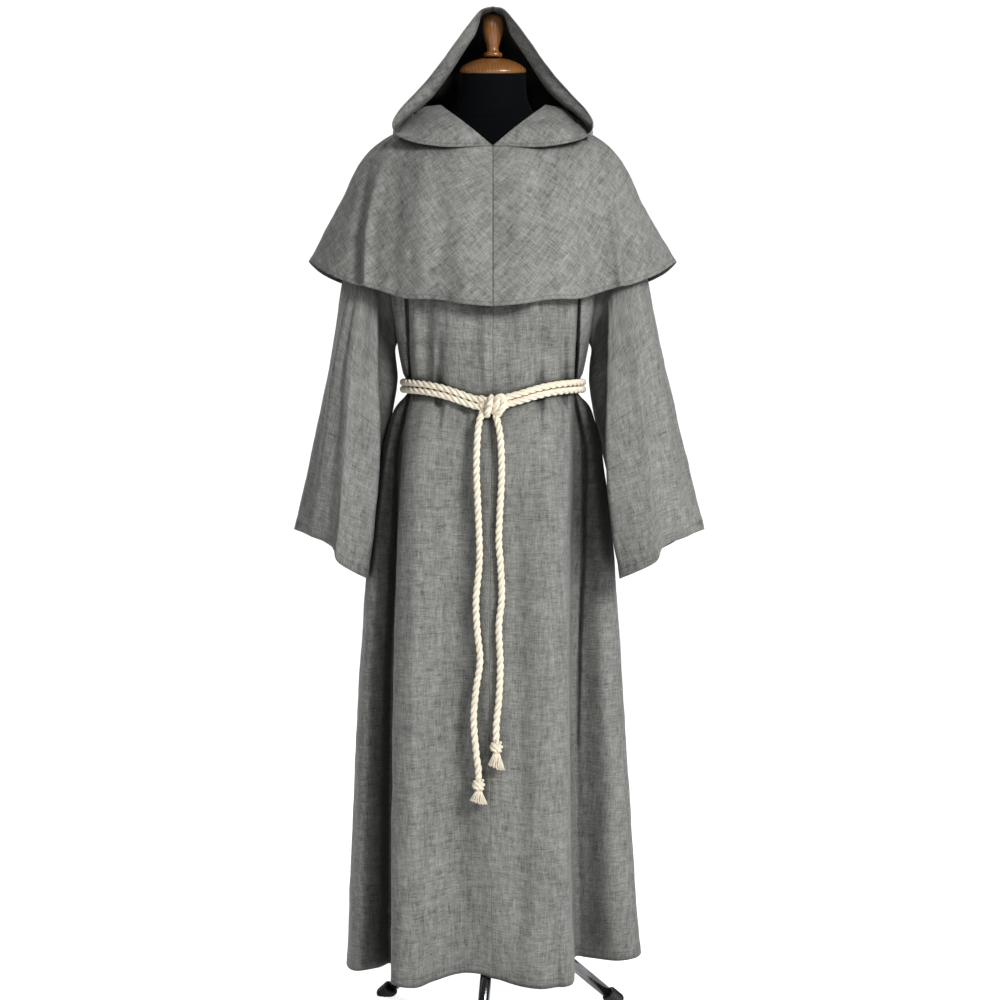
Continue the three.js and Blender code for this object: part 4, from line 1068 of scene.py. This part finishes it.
def hood_face(side):
    def surface(up, back):
        neck = (neck_out(180 * back), neck_y(180 * back), neck_z(180 * back) + HOOD_LIFT)
        places = [neck] + [[f(back) for f in hood_columns[k:k + 3]] for k in range(0, 15, 3)]
        places.append((0, hood_columns[15](back), hood_columns[16](back)))
        out, y, z = (line(up) for line in tracks(HOOD_STATIONS, places))
        return side * max(out, 0.06), y, z

    return surface


def hood_relief(up, back, place):
    x, y, z = place
    inner = ease(0.0, 0.1, up) * (1 - ease(0.95, 1.0, up) * 0.6)
    rim = 0.7 * (1 - ease(0.02, 0.045, back))
    folds = (3.0 * bell(up - 0.40 - 0.25 * back, 0.035) - 3.0 * bell(up - 0.47 - 0.25 * back, 0.04)) \
        * ease(0.1, 0.35, back) * (1 - ease(0.8, 1.0, back))
    folds += 15 * bell(up - 0.385 - 0.1 * back, 0.026) * ease(0.0, 0.045, back) \
        * (1 - ease(0.3, 0.5, back))
    roll = 19 * max(0.0, bell(back - 0.16, 0.085) - 0.03) * ease(0.40, 0.60, up) \
        * (1 - ease(0.82, 0.95, up))
    unrest = 1.2 * crumple(x, y, z, 44, 3.0) + 0.4 * crumple(x, y, z, 15, 5.0)
    return (folds * ease(0.22, 0.34, up) + unrest * ease(0.04, 0.2, up)) * inner + rim - roll


HOOD_BACK = spaced([0, 0.035, 1.0], 0.0125)
HOOD_UP = even(0, 1, 110)
for name, side in (("left", -1), ("right", 1)):
    sew(f"hood_{name}", "half", hood_face(side), HOOD_UP, HOOD_BACK, hood_relief, (0.50, 0.36),
        (f"cape_{name}",), held="draped", area=0.09, material=linen_fine, outside=-side,
        turned=side * math.radians(45))


# ------------ floor and light
# A plain white studio: a floor disc, a bright even surround and three soft lights, two in
# front, the stronger of them on the right, and one behind.
bm = bmesh.new()
bmesh.ops.create_circle(bm, cap_ends=True, segments=96, radius=6.0)
floor_mesh = bpy.data.meshes.new("floor")
bm.to_mesh(floor_mesh)
bm.free()
floor = bpy.data.objects.new("floor", floor_mesh)
bpy.context.collection.objects.link(floor)
floor_finish = Finish("studio floor")
floor_seen = floor_finish.node("ShaderNodeLightPath", out="Is Camera Ray")
floor_mesh.materials.append(floor_finish.wear(
    Base_Color=(0.9, 0.9, 0.9, 1), Roughness=0.8, Specular_IOR_Level=0.1,
    Emission_Color=(1, 1, 1, 1), Emission_Strength=floor_finish.band(floor_seen, 0.0, 1.0, 0.35, 0.85)))

world = bpy.data.worlds.new("studio")
bpy.context.scene.world = world
world.use_nodes = True
nodes, links = world.node_tree.nodes, world.node_tree.links
nodes["Background"].inputs["Color"].default_value = (0.95, 0.97, 1.0, 1)
nodes["Background"].inputs["Strength"].default_value = 0.07
bright = nodes.new("ShaderNodeBackground")
bright.inputs["Color"].default_value = (1, 1, 1, 1)
bright.inputs["Strength"].default_value = 1.1
seen = nodes.new("ShaderNodeLightPath")
either = nodes.new("ShaderNodeMixShader")
links.new(seen.outputs["Is Camera Ray"], either.inputs["Fac"])
links.new(nodes["Background"].outputs[0], either.inputs[1])
links.new(bright.outputs[0], either.inputs[2])
links.new(either.outputs[0], nodes["World Output"].inputs["Surface"])

for name, place, aim, size, power in (
    ("key", (2.2, -3.2, 3.0), (0.0, 0.0, 0.9), 1.1, 190.0),
    ("fill", (-0.6, -4.2, 2.6), (0.0, 0.0, 0.8), 1.4, 20.0),
    ("back", (-2.4, 3.2, 3.4), (0.0, 0.0, 0.9), 1.4, 90.0),
):
    lamp_data = bpy.data.lights.new(name, "AREA")
    lamp_data.shape = "DISK"
    lamp_data.size = size
    lamp_data.energy = power
    lamp = bpy.data.objects.new(name, lamp_data)
    lamp.location = place
    lamp.rotation_euler = (Vector(aim) - Vector(place)).to_track_quat("-Z", "Y").to_euler()
    bpy.context.collection.objects.link(lamp)
